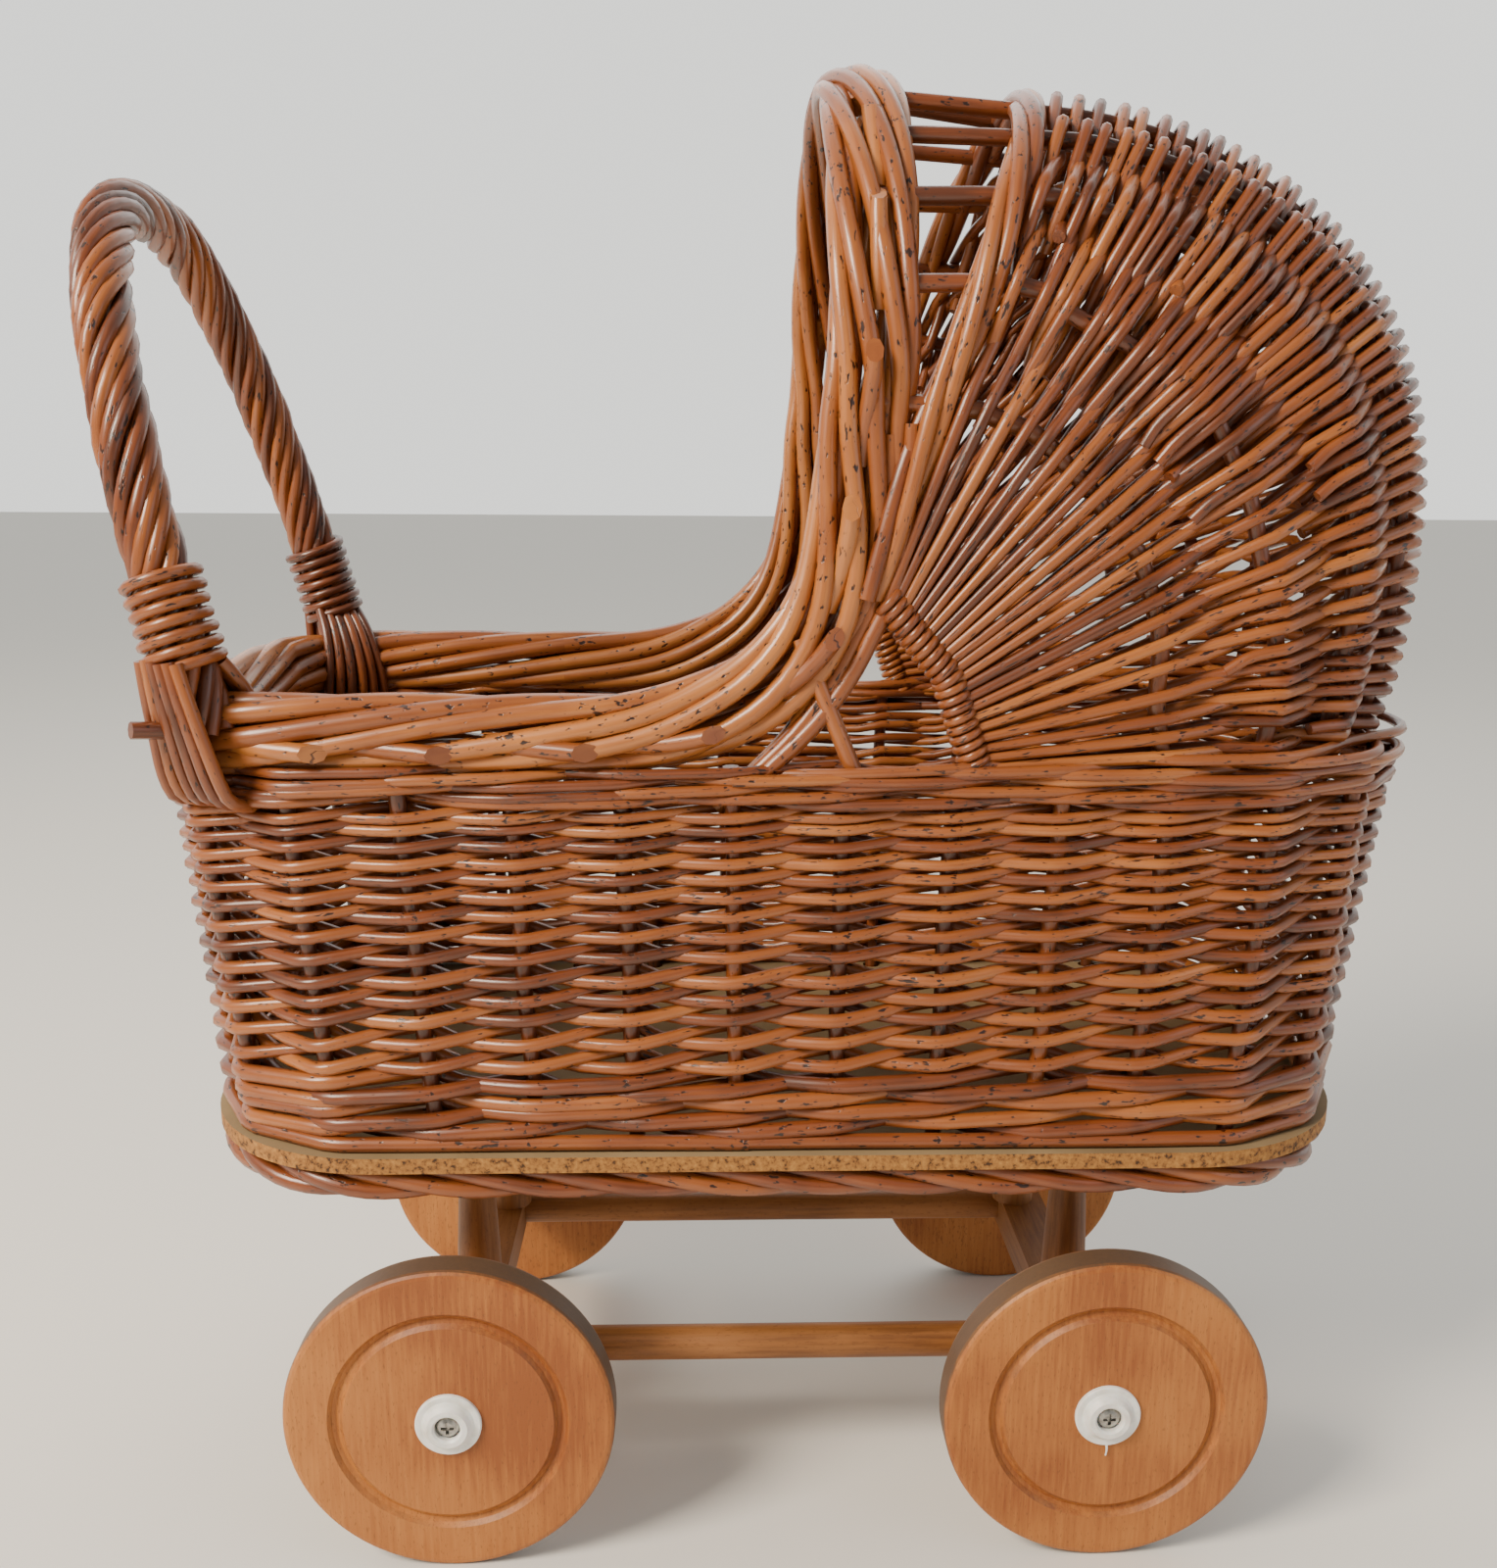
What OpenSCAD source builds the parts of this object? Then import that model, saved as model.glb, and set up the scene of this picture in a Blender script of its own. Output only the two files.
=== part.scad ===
// Doll's pram: an oval wicker basket with a fixed hood and a roped handle, on a
// turned wooden chassis with four disc wheels. Millimetres. +X points to the hood,
// +Z is up, and the origin is on the floor under the middle of the whole pram.

/* [Base board] */
// Length of the base board
board_l = 442; // [360:1:540]
// Width of the base board
board_w = 228; // [190:1:280]
// Corner radius of the base board
board_r = 71; // [50:1:90]
// Thickness of the base board
board_t = 6; // [4:0.5:10]
// How far the middle of the board lies ahead of the origin
board_x = 4; // [0:0.5:12]

/* [Basket] */
// How far the wicker stands inside the edge of the board at the ends
end_lip = 2; // [1:0.5:6]
// How far the wicker stands inside the edge of the board at the sides
side_lip = 5; // [2:0.5:8]
// Thickness of the woven wall
wall_t = 12; // [9:0.5:14]
// Height of the bottom wale
bottom_wale_h = 30; // [20:1:40]
// Height of the side weave
weave_h = 98; // [70:1:130]
// Height of the top wale
top_wale_h = 9.5; // [6:0.5:16]
// Height of the rolled rim border
border_h = 30; // [22:1:36]
// Thickness of the rolled rim border
border_t = 20; // [16:1:24]
// How far the wall leans out at the handle end, from board to border
lean_handle_end = 11; // [0:1:25]
// How far the wall leans out at the hood end, from board to border
lean_hood_end = 21; // [0:1:30]
// How far each side leans out, from board to border
lean_side = 3; // [0:0.5:8]
// Corner radius of the wall at the rim, handle end
rim_r_handle = 56; // [50:1:90]
// Corner radius of the wall at the rim, hood end
rim_r_hood = 84; // [60:1:100]
// Diameter of the stakes
stake_d = 6.4; // [5:0.2:7.6]
// Number of stakes
stake_n = 32; // [24:2:40]
// Diameter of the twisted foot border
foot_rope_d = 13; // [10:0.5:16]

/* [Hood] */
// Height of the top of the hood above the rim of the basket
hood_rise = 210; // [170:1:250]
// How far the back of the hood bulges behind the wall of the basket
hood_bulge = 8; // [0:1:20]
// Distance from the middle of the fan to the back of the hood
hood_depth = 198; // [160:1:220]
// Thickness of the hood's weave
hood_t = 11; // [8:0.5:14]
// Squareness of the hood's arch and back (2 is round)
hood_square = 2.3; // [2:0.1:2.6]
// Diameter of the ribs
rib_d = 6; // [4:0.5:8]
// Number of ribs
rib_n = 11; // [7:2:15]
// Width of the front border of the hood
arch_w = 32; // [24:1:38]
// Thickness of the front border of the hood
arch_t = 18; // [14:1:22]
// How far the front border stands above the hood behind it
arch_proud = 9; // [0:1:16]
// Clear gap between the front border and the inner hoop, at the top
arch_gap = 42.6; // [30:0.2:50]
// Diameter of the inner hoop
hoop_d = 14; // [10:0.5:18]
// Diameter of the twisted edge of the fan
fan_edge_d = 12; // [9:0.5:14]
// How high the fan edge starts above the rim border's underside
fan_h = 61; // [50:1:70]
// How far the front border sweeps back from the arch before it lies level
sweep_l = 95; // [85:1:105]

/* [Handle] */
// Diameter of the roped handle
handle_d = 21; // [17:0.5:24]
// Height of the handle's middle line above the rim
handle_rise = 167; // [120:1:210]
// How far the top of the handle leans out past its feet
handle_lean = 41; // [20:1:60]
// Where each leg stands on the rim, in degrees round the corner from the end
handle_angle = 60; // [40:1:70]
// How far the legs stand outside the middle line of the rim border
handle_out = 8; // [0:1:10]
// Length of the binding on each leg
binding_l = 30; // [20:1:40]
// Thickness of the binding and of the lashing
binding_t = 3; // [2:0.5:4]
// Width of the lashing round the rim
lashing_w = 34; // [26:1:40]

/* [Chassis] */
// Height of the posts, from the axle beam to the base board
post_h = 95; // [70:1:130]
// Diameter of the foot of a post
post_foot_d = 19; // [17:0.5:22]
// Diameter of the neck of a post
post_neck_d = 14.8; // [12:0.2:17]
// Distance between the posts of one beam, centre to centre
post_track = 100; // [80:1:104]
// Width of an axle beam
beam_w = 20; // [18:1:26]
// Thickness of an axle beam
beam_t = 16; // [15:0.5:22]
// Diameter of the two long rails
rail_d = 14; // [11:0.5:14.5]
// Distance between the rails, centre to centre
rail_track = 118; // [116:1:122]
// Diameter of the tenons turned on posts and rails
tenon_d = 8; // [6:0.5:9]
// Depth of the tenons
tenon_l = 6; // [4:0.5:7]
// Distance between the two axles
wheelbase = 250; // [220:1:300]
// How far the middle of the wheelbase lies ahead of the origin
axle_x = 2.8; // [0:0.1:8]

/* [Wheels] */
// Diameter of a wheel
wheel_d = 125; // [100:1:140]
// Thickness of a wheel
wheel_t = 15; // [14:0.5:20]
// Distance between the outer faces of two wheels
track = 224; // [210:1:250]
// Outer diameter of the turned groove
groove_od = 91; // [70:1:96]
// Inner diameter of the turned groove
groove_id = 79; // [60:1:86]
// Depth of the turned groove
groove_depth = 2.5; // [1:0.5:4]
// Outer diameter of the hub bush in the wheel
bush_d = 12; // [10:0.5:16]
// Diameter of the flange of the bush
flange_d = 25; // [20:0.5:32]
// Diameter of the raised boss of the bush
boss_d = 18; // [15:0.5:19]
// Diameter of the screw that carries the wheel
axle_d = 4.6; // [4:0.1:5.6]
// Running clearance between screw and bush, on the radius
running_fit = 0.05; // [0.02:0.01:0.1]
// Diameter of the screw's head
head_d = 9; // [8:0.5:10.5]
// Outer diameter of the washer behind a wheel
washer_d = 16; // [12:0.5:20]
// Thickness of the washer behind a wheel
washer_t = 2.5; // [1.5:0.5:4]
// Free play of a wheel along its screw, at each side
end_play = 0.3; // [0.2:0.1:0.8]

/* [Board screws] */
// Diameter of the screws that hold the posts
screw_d = 3.5; // [3:0.1:4.5]
// Diameter of their countersunk heads
screw_head_d = 7; // [6:0.5:9]
// How deep the screws reach into the posts
screw_reach = 22; // [14:1:30]

/* [Hidden] */

$fn = 48;
near = -1;                 // the side of the pram at -Y
far = 1;
handle_end = -1;
hood_end = 1;

willow = "#a9602f";
willow_dark = "#7f4420";
beech = "#c08a52";
fibre = "#b08a58";
plastic = "#f2f2ee";
steel = "#a8a8a8";

// Heights, from the floor up
axle_z = wheel_d / 2;
beam_top = axle_z + beam_t / 2;
board_z = beam_top + post_h;
board_top = board_z + board_t;
wale_top = board_top + bottom_wale_h;
weave_top = wale_top + weave_h;
rim_z = weave_top + top_wale_h;         // underside of the rim border
rim_top = rim_z + border_h;
wall_h = rim_z - board_top;

// Board and wall in plan, each as [handle end, hood end, half width, radius, radius]
function blend_plan(a, b, f) = a + (b - a) * f;
board_plan = [board_x - board_l / 2, board_x + board_l / 2, board_w / 2, board_r, board_r];
foot_plan = [board_plan[0] + end_lip, board_plan[1] - end_lip, board_w / 2 - side_lip,
  board_r - side_lip, board_r - side_lip];
rim_plan = [foot_plan[0] - lean_handle_end, foot_plan[1] + lean_hood_end,
  foot_plan[2] + lean_side, rim_r_handle, rim_r_hood];
function wall_plan(z) = blend_plan(foot_plan, rim_plan, (z - board_top) / wall_h);
function inset_plan(p, i) = [p[0] + i, p[1] - i, p[2] - i, p[3] - i, p[4] - i];

// Quarter turns of a plan, anticlockwise from the hood end's near corner
corner_steps = 8;
function arc(cx, cy, r, from) = [for (i = [0:corner_steps])
  let (a = from + 90 * i / corner_steps)
  [cx + r * cos(a), cy + r * sin(a)]];
function outline(p) = concat(
  arc(p[1] - p[4], -p[2] + p[4], p[4], -90), arc(p[1] - p[4], p[2] - p[4], p[4], 0),
  arc(p[0] + p[3], p[2] - p[3], p[3], 90), arc(p[0] + p[3], -p[2] + p[3], p[3], 180));

// A point part of the way round half a plan: 0 is the hood end, 1 is the handle end
function half_lengths(p) =
  [p[2] - p[4], p[4] * PI / 2, p[1] - p[4] - p[0] - p[3], p[3] * PI / 2, p[2] - p[3]];
function sum_to(v, n) = n == 0 ? 0 : v[n - 1] + sum_to(v, n - 1);
function half_point(p, f) =
  let (s = half_lengths(p), d = f * sum_to(s, 5))
  d < s[0] ? [p[1], d]
  : d < sum_to(s, 2) ? let (a = 90 * (d - s[0]) / s[1])
      [p[1] - p[4] + p[4] * cos(a), p[2] - p[4] + p[4] * sin(a)]
  : d < sum_to(s, 3) ? [p[1] - p[4] - (d - sum_to(s, 2)), p[2]]
  : d < sum_to(s, 4) ? let (a = 90 + 90 * (d - sum_to(s, 3)) / s[3])
      [p[0] + p[3] + p[3] * cos(a), p[2] - p[3] + p[3] * sin(a)]
  : [p[0], p[2] - p[3] - (d - sum_to(s, 4))];
function round_point(p, f) =
  f <= 0.5 ? half_point(p, 2 * f) : let (q = half_point(p, 2 - 2 * f)) [q[0], -q[1]];

// Closed skin over a row of equal rings; a loop joins the last ring to the first
module skin(rings, loop = false) {
  n = len(rings);
  k = len(rings[0]);
  last = loop ? n - 1 : n - 2;
  sides = [for (i = [0:last]) for (j = [0:k - 1])
    let (a = i * k + j, b = i * k + (j + 1) % k,
      d = ((i + 1) % n) * k + j, c = ((i + 1) % n) * k + (j + 1) % k)
    each [[a, d, c], [a, c, b]]];
  end = (n - 1) * k;
  caps = loop ? [] : [for (j = [0:k / 2 - 2]) let (a = j, b = j + 1, c = k - 2 - j, d = k - 1 - j)
    each [[a, b, c], [a, c, d], [end + c, end + b, end + a], [end + d, end + c, end + a]]];
  polyhedron(points = [for (r = rings) each r], faces = concat(sides, caps), convexity = 8);
}

function unit(v) = v / norm(v);
function tangent(path, i, loop) =
  let (n = len(path), a = loop ? (i + n - 1) % n : max(i - 1, 0), b = loop ? (i + 1) % n : min(i + 1, n - 1))
  unit(path[b] - path[a]);
// Oval rings along a path; out[i] points away from the inside of the pram,
// wide is the half width along the wall and deep the half thickness
function rings_along(path, out, wide, deep, k, loop = false) = [for (i = [0:len(path) - 1])
  let (t = tangent(path, i, loop), s = unit(cross(out[i], t)), n = cross(t, s))
  [for (j = [0:k - 1]) let (a = 360 * (j + 0.5) / k) path[i] + wide * cos(a) * s + deep * sin(a) * n]];

// A band of wall between two heights, following the wall's own lean
module belt(z0, z1, t) {
  levels = [z0, (z0 + z1) / 2, z1];
  rounding = min(t, z1 - z0) / 6;
  profile = concat(
    [[z0 + rounding, t], [z1 - rounding, t]],
    [[z1, t - rounding], [z1, rounding]],
    [[z1 - rounding, 0], [levels[1], 0], [z0 + rounding, 0]],
    [[z0, rounding], [z0, t - rounding]]);
  shapes = [for (p = profile) outline(inset_plan(wall_plan(p[0]), p[1]))];
  n = len(shapes[0]);
  skin([for (i = [0:n - 1]) [for (j = [0:len(profile) - 1])
    [shapes[j][i][0], shapes[j][i][1], profile[j][0]]]], true);
}

// Base board
stake_inset = wall_t / 2;
stake_clear = 1;
function stake_foot(i) = round_point(inset_plan(foot_plan, stake_inset), (i + 0.5) / stake_n);
function stake_head(i) = round_point(inset_plan(rim_plan, stake_inset), (i + 0.5) / stake_n);

post_offset = 4;                     // the posts stand this far inside the axles
post_x = wheelbase / 2 - post_offset;
function post_place(end, side) = [axle_x + end * post_x, side * post_track / 2];

module rounded_plate(p, h) {
  r = p[3];
  translate([p[0] + r, -p[2], 0]) cube([p[1] - p[0] - 2 * r, 2 * p[2], h]);
  translate([p[0], -p[2] + r, 0]) cube([p[1] - p[0], 2 * p[2] - 2 * r, h]);
  for (x = [p[0] + r, p[1] - r], y = [-p[2] + r, p[2] - r])
    translate([x, y, 0]) cylinder(r = r, h = h);
}

screw_cone = (screw_head_d - screw_d) / 2;

module base_board() {
  color(fibre) difference() {
    translate([0, 0, board_z]) rounded_plate(board_plan, board_t);
    for (i = [0:stake_n - 1])
      translate([stake_foot(i)[0], stake_foot(i)[1], board_z - 1])
        cylinder(d = stake_d + 2 * stake_clear, h = board_t + 2, $fn = 24);
    for (end = [handle_end, hood_end], side = [near, far]) {
      translate([post_place(end, side)[0], post_place(end, side)[1], board_z - 1])
        cylinder(d = screw_d, h = board_t + 2, $fn = 24);
      translate([post_place(end, side)[0], post_place(end, side)[1], board_top - screw_cone])
        cylinder(d1 = screw_d, d2 = screw_head_d, h = screw_cone, $fn = 24);
    }
  }
}

module board_screws() {
  color(steel) for (end = [handle_end, hood_end], side = [near, far])
    translate([post_place(end, side)[0], post_place(end, side)[1], 0]) {
      translate([0, 0, board_z - screw_reach])
        cylinder(d = screw_d, h = screw_reach + board_t - screw_cone, $fn = 24);
      translate([0, 0, board_top - screw_cone])
        cylinder(d1 = screw_d, d2 = screw_head_d, h = screw_cone, $fn = 24);
    }
}

// Wicker
module foot_border() {
  r = foot_rope_d / 2;
  line = outline(inset_plan(board_plan, r + 1));
  path = [for (p = line) [p[0], p[1], board_z - r]];
  color(willow) skin(rings_along(path, [for (p = path) [0, 0, 1]], r, r, 8, true), true);
}

stake_in_foot = 3;                   // how far a stake stops short of the foot border's underside
stake_in_rim = 4;                    // how far a stake reaches into the rim border
module side_stakes() {
  z0 = board_z - foot_rope_d + stake_in_foot;
  z1 = rim_z + stake_in_rim;
  color(willow_dark) for (i = [0:stake_n - 1]) {
    a = [stake_foot(i)[0], stake_foot(i)[1], board_top];
    b = [stake_head(i)[0], stake_head(i)[1], rim_z];
    dir = unit(b - a);
    start = a - dir * (board_top - z0);
    tilt = acos(dir[2]);
    turn = atan2(dir[1], dir[0]);
    translate(start) rotate([0, tilt, turn]) cylinder(d = stake_d, h = (z1 - z0) / dir[2], $fn = 16);
  }
}

module bottom_wale() { color(willow) belt(board_top, wale_top, wall_t); }

module side_weave() { color(willow) belt(wale_top, weave_top, wall_t); }

module top_wale() { color(willow) belt(weave_top, rim_z, wall_t); }

// Rim border: a U round the handle end, ending where the border sweeps up
border_z = rim_z + border_h / 2;
border_out = 2;                      // how far the border overhangs the sides
border_plan = inset_plan(
  [rim_plan[0], rim_plan[1], rim_plan[2] + border_out, rim_plan[3], rim_plan[4]], border_t / 2);

function flat3(p, z) = [p[0], p[1], z];
module rim_border() {
  p = border_plan;
  far_arc = arc(p[0] + p[3], p[2] - p[3], p[3], 90);
  near_arc = arc(p[0] + p[3], -p[2] + p[3], p[3], 180);
  line = concat([[sweep_x, p[2]], [(sweep_x + far_arc[0][0]) / 2, p[2]]], far_arc, near_arc,
    [[(sweep_x + far_arc[0][0]) / 2, -p[2]], [sweep_x, -p[2]]]);
  out = concat([[0, 1, 0], [0, 1, 0]],
    [for (i = [0:corner_steps]) let (a = 90 + 90 * i / corner_steps) [cos(a), sin(a), 0]],
    [for (i = [0:corner_steps]) let (a = 180 + 90 * i / corner_steps) [cos(a), sin(a), 0]],
    [[0, -1, 0], [0, -1, 0]]);
  path = [for (q = line) flat3(q, border_z)];
  color(willow) skin(rings_along(path, out, border_h / 2, border_t / 2, 12));
}

// Hood
// Back of the hood in the middle plane: a squared oval about hood_cx, hood_cz
back_x = rim_plan[1] + hood_bulge;
fan_to_middle = 18;                  // from the fan's middle to the middle of the oval
hood_cx = back_x - hood_depth + fan_to_middle;
middle_rise = 76;                    // from the wall's top to the middle of the oval
hood_cz = rim_z + middle_rise;
hood_a = back_x - hood_cx - hood_t / 2;
hood_b = rim_z + border_h + hood_rise - hood_cz - hood_t / 2;
hood_hw = rim_plan[2] - hood_t / 2;
function bent(c, p) = sign(c) * pow(abs(c), 2 / p);
low_tau = -asin(pow(middle_rise / (hood_b + hood_t / 2), hood_square / 2));
front_tau = 84;
function back_point(u, off) = let (tau = front_tau + (low_tau - front_tau) * u)
  [hood_cx + (hood_a + off) * bent(cos(tau), hood_square),
   hood_cz + (hood_b + off) * bent(sin(tau), hood_square)];
arch_x = back_point(0, 0)[0] - hoop_d / 2 - arch_gap - arch_w / 2 - 1;

// The fan edge, as X and Z: where the hoops of one side meet
fan_top = [arch_x + 6, rim_z + fan_h];
fan_mid = [arch_x + 27, rim_z + 0.59 * fan_h];
fan_low = [arch_x + 40, rim_z];
function fan_foot(u) =
  u < 0.5 ? fan_top + (fan_mid - fan_top) * 2 * u : fan_mid + (fan_low - fan_mid) * (2 * u - 1);

// Point of hoop u (0 front, 1 lowest) at v (0 near foot, 0.5 top, 1 far foot)
arc_depth = 106;                     // how far from its top a hoop starts to bend over
function hoop_point(u, v, off) =
  let (f = fan_foot(u), e = back_point(u, off), rho = norm(e - f), dir = (e - f) / rho, hw = hood_hw + off,
    leg = max(rho - arc_depth, 0), bow = arc_depth * PI / 2, d = abs(2 * v - 1) * (leg + bow),
    side = v < 0.5 ? near : far,
    psi = min(d / bow, 1) * 90,
    y = side * hw * (psi < 90 ? bent(sin(psi), hood_square) : 1),
    s = rho - arc_depth * (1 - bent(cos(psi), hood_square)) - max(d - bow, 0))
  [f[0] + dir[0] * s, y, f[1] + dir[1] * s];

u_steps = 14;
v_steps = 36;
module hood_weave() {
  color(willow) skin([for (j = [0:v_steps]) let (v = j / v_steps) concat(
    [for (i = [0:u_steps]) hoop_point(i / u_steps, v, hood_t / 2)],
    [for (i = [u_steps:-1:0]) hoop_point(i / u_steps, v, -hood_t / 2)])]);
}

// The front border: from the rim up in a sweep, over the arch and down again
arch_top = rim_z + border_h + hood_rise + arch_proud;
arch_hw = rim_plan[2] - arch_t / 2;
arch_cz = arch_top - arch_t / 2 - arch_hw;
sweep_x = arch_x - sweep_l;            // where the level border ends and the sweep begins
sweep_curve = [[1, 0], [0.79, 1.5], [0.6, 6], [0.39, 15], [0.225, 29], [0.12, 47], [0.06, 70], [0.03, 100]];
sweep_line = [for (q = sweep_curve) [arch_x - q[0] * sweep_l, q[1]]];    // X, and the rise over the rim
sweep_side = border_plan[2];
arch_steps = 14;
function arch_side(x) = sweep_side + (arch_hw - sweep_side) * (x - sweep_x) / (arch_x - sweep_x);
module hood_front_border() {
  up = [for (q = sweep_line) [q[0], -arch_side(q[0]), border_z + q[1]]];
  turns = [for (i = [0:arch_steps]) 180 - 180 * i / arch_steps];
  over = [for (a = turns) [arch_x, arch_hw * cos(a), arch_cz + arch_hw * sin(a)]];
  down = [for (i = [len(up) - 1:-1:0]) [up[i][0], -up[i][1], up[i][2]]];
  out = concat([for (q = up) [0, -1, 0]], [for (a = turns) [0, cos(a), sin(a)]], [for (q = down) [0, 1, 0]]);
  color(willow) skin(rings_along(concat(up, over, down), out, arch_w / 2, arch_t / 2, 12));
}

module hood_inner_hoop() {
  path = [for (j = [0:v_steps]) hoop_point(0, j / v_steps, 0) - [hoop_d / 2, 0, 0]];
  out = [for (p = path) [0, p[1] / hood_hw, max(0, (p[2] - hood_cz) / hood_b)] + [0, 0, 0.001]];
  color(willow_dark) skin(rings_along(path, out, hoop_d / 2, hoop_d / 2, 8));
}

// Ribs: from the front border back over the hood and down into the wall
rib_steps = 12;
rib_first = 0.14;                    // where the first and the last rib cross the hoops
rib_last = 0.86;
function arch_point(v) = let (c = hoop_point(0, v, 0), a = atan2(c[2] - arch_cz, c[1]))
  c[2] > arch_cz ? [arch_x, arch_hw * cos(a), arch_cz + arch_hw * sin(a)]
  : [arch_x - 2, sign(c[1]) * arch_hw, c[2]];
module hood_ribs() {
  color(willow_dark) for (i = [1:rib_n]) {
    v = rib_first + (rib_last - rib_first) * (i - 1) / (rib_n - 1);
    path = concat([arch_point(v)],
      [for (k = [0:rib_steps]) hoop_point(0.02 + 0.95 * k / rib_steps, v, 0)]);
    skin(rings_along(path, [for (p = path) [-0.2, p[1] / hood_hw, 0.7]], rib_d / 2, rib_d / 2, 6));
  }
}

module fan_edge(side) {
  path = [for (i = [0:8]) let (f = fan_foot(i / 8))
    [f[0], side * hood_hw, f[1] + (i == 8 ? fan_edge_d / 4 : 0)]];
  color(willow) skin(rings_along(path, [for (p = path) [0, side, 0]], fan_edge_d / 2, fan_edge_d / 2, 8));
}
module fan_edge_near() { fan_edge(near); }
module fan_edge_far() { fan_edge(far); }

// One slanting stake in each side window
window_top = [fan_low[0] - 63, rim_z + 48];
window_foot = [fan_low[0] - 41, rim_z - 4];
module window_stakes() {
  color(willow_dark) for (side = [near, far]) {
    path = [for (q = [window_top, window_foot]) [q[0], side * hood_hw, q[1]]];
    skin(rings_along(path, [for (p = path) [0, 1, 0]], stake_d / 2, stake_d / 2, 8));
  }
}

// Handle
foot_r = border_plan[3] + handle_out;
handle_foot = [border_plan[0] + border_plan[3] - foot_r * cos(handle_angle),
  border_plan[2] - border_plan[3] + foot_r * sin(handle_angle)];
handle_low = border_z;
handle_square = 2.3;
handle_start = 3;                    // the legs start this far ahead of their place on the rim
function handle_point(a) =                       // a runs from 180 (near foot) to 0 (far foot)
  let (rise = (rim_top + handle_rise - handle_low) * bent(sin(a), handle_square))
  [handle_foot[0] - handle_lean * rise / handle_rise + handle_start,
   handle_foot[1] * bent(cos(a), handle_square), handle_low + rise];
function handle_side(a) = [0, cos(a), sin(a)];
handle_steps = 32;
module handle() {
  angles = [for (i = [0:handle_steps]) 180 - 180 * i / handle_steps];
  color(willow_dark) skin(rings_along([for (a = angles) handle_point(a)], [for (a = angles) handle_side(a)],
    handle_d / 2, handle_d / 2, 12));
}

// A sleeve of bound rod round a leg, from the rim up
binding_from = rim_top + 7;
function leg_at(side, z) =                       // middle line of a leg at height z
  let (rise = z - handle_low, s = pow(rise / (rim_top + handle_rise - handle_low), handle_square / 2))
  [handle_foot[0] - handle_lean * rise / handle_rise + handle_start,
   side * handle_foot[1] * pow(sqrt(1 - s * s), 2 / handle_square), z];
module binding(side) {
  path = [for (i = [0:4]) leg_at(side, binding_from + binding_l * i / 4)];
  out = [for (p = path) [0, side, 0]];
  r = handle_d / 2 + binding_t;
  color(willow_dark) skin(rings_along(path, out, r, r, 14));
}
module handle_binding_near() { binding(near); }
module handle_binding_far() { binding(far); }

// The lashing: rod wound over the border, inside and outside, at the foot of a leg
module lashing(side) {
  levels = [rim_z - 8, rim_z - 2, rim_top + 2, binding_from];
  neck = handle_d / 2 + 2;
  half_widths = [lashing_w / 2, lashing_w / 2, lashing_w / 2, neck];
  half_depths = [binding_t, binding_t + 1, binding_t + 1, 0] + [for (i = [0:3]) i == 3 ? neck : border_t / 2];
  outward = [-cos(handle_angle), side * sin(handle_angle), 0];
  along = cross(outward, [0, 0, 1]);
  foot = [handle_foot[0], side * handle_foot[1], 0];
  rings = [for (i = [0:3]) let (middle = i == 3 ? leg_at(side, levels[i]) : foot + [0, 0, levels[i]])
    [for (j = [0:15]) let (a = 360 * j / 16)
      middle + along * half_widths[i] * bent(cos(a), 3) + outward * half_depths[i] * bent(sin(a), 3)]];
  color(willow_dark) skin(rings);
}
module handle_lashing_near() { lashing(near); }
module handle_lashing_far() { lashing(far); }

// Chassis
beam_l = track - 2 * (wheel_t + washer_t + 2 * end_play);
axle_hole_l = 28;
rail_x = wheelbase / 2 - beam_w / 2;            // inner faces of the beams

module beam(end) {
  x = axle_x + end * wheelbase / 2;
  color(beech) difference() {
    translate([x - beam_w / 2, -beam_l / 2, axle_z - beam_t / 2]) cube([beam_w, beam_l, beam_t]);
    for (side = [near, far]) {
      translate([post_place(end, side)[0], post_place(end, side)[1], beam_top - tenon_l])
        cylinder(d = tenon_d, h = tenon_l + 1);
      translate([axle_x + end * (rail_x - 1), side * rail_track / 2, axle_z])
        rotate([0, 90 * end, 0]) cylinder(d = tenon_d, h = tenon_l + 1);
      translate([x, side * (beam_l / 2 - axle_hole_l), axle_z])
        rotate([-90 * side, 0, 0]) cylinder(d = axle_d, h = axle_hole_l + 1);
    }
  }
}
module beam_handle_end() { beam(handle_end); }
module beam_hood_end() { beam(hood_end); }

module rail(side) {
  color(beech) translate([axle_x - rail_x, side * rail_track / 2, axle_z]) rotate([0, 90, 0]) {
    cylinder(d = rail_d, h = 2 * rail_x);
    translate([0, 0, -tenon_l]) cylinder(d = tenon_d, h = 2 * rail_x + 2 * tenon_l);
  }
}
module rail_near() { rail(near); }
module rail_far() { rail(far); }

// A post is turned: a foot, a slow swell, then a neck under the board
module post(end, side) {
  f = post_foot_d / 2;
  n = post_neck_d / 2;
  swell = (f + n) / 2;
  color(beech) translate([post_place(end, side)[0], post_place(end, side)[1], beam_top]) difference() {
    rotate_extrude() polygon([[0, -tenon_l], [tenon_d / 2, -tenon_l], [tenon_d / 2, 0], [f, 0],
      [f, post_h * 0.12], [f - 0.6, post_h * 0.24], [swell, post_h * 0.36], [n + 0.5, post_h * 0.48],
      [n, post_h * 0.58], [n, post_h * 0.78], [n + 1, post_h * 0.9], [n + 1.4, post_h], [0, post_h]]);
    translate([0, 0, post_h - screw_reach]) cylinder(d = screw_d, h = screw_reach + 1, $fn = 24);
  }
}
module post_handle_near() { post(handle_end, near); }
module post_handle_far() { post(handle_end, far); }
module post_hood_near() { post(hood_end, near); }
module post_hood_far() { post(hood_end, far); }

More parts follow.
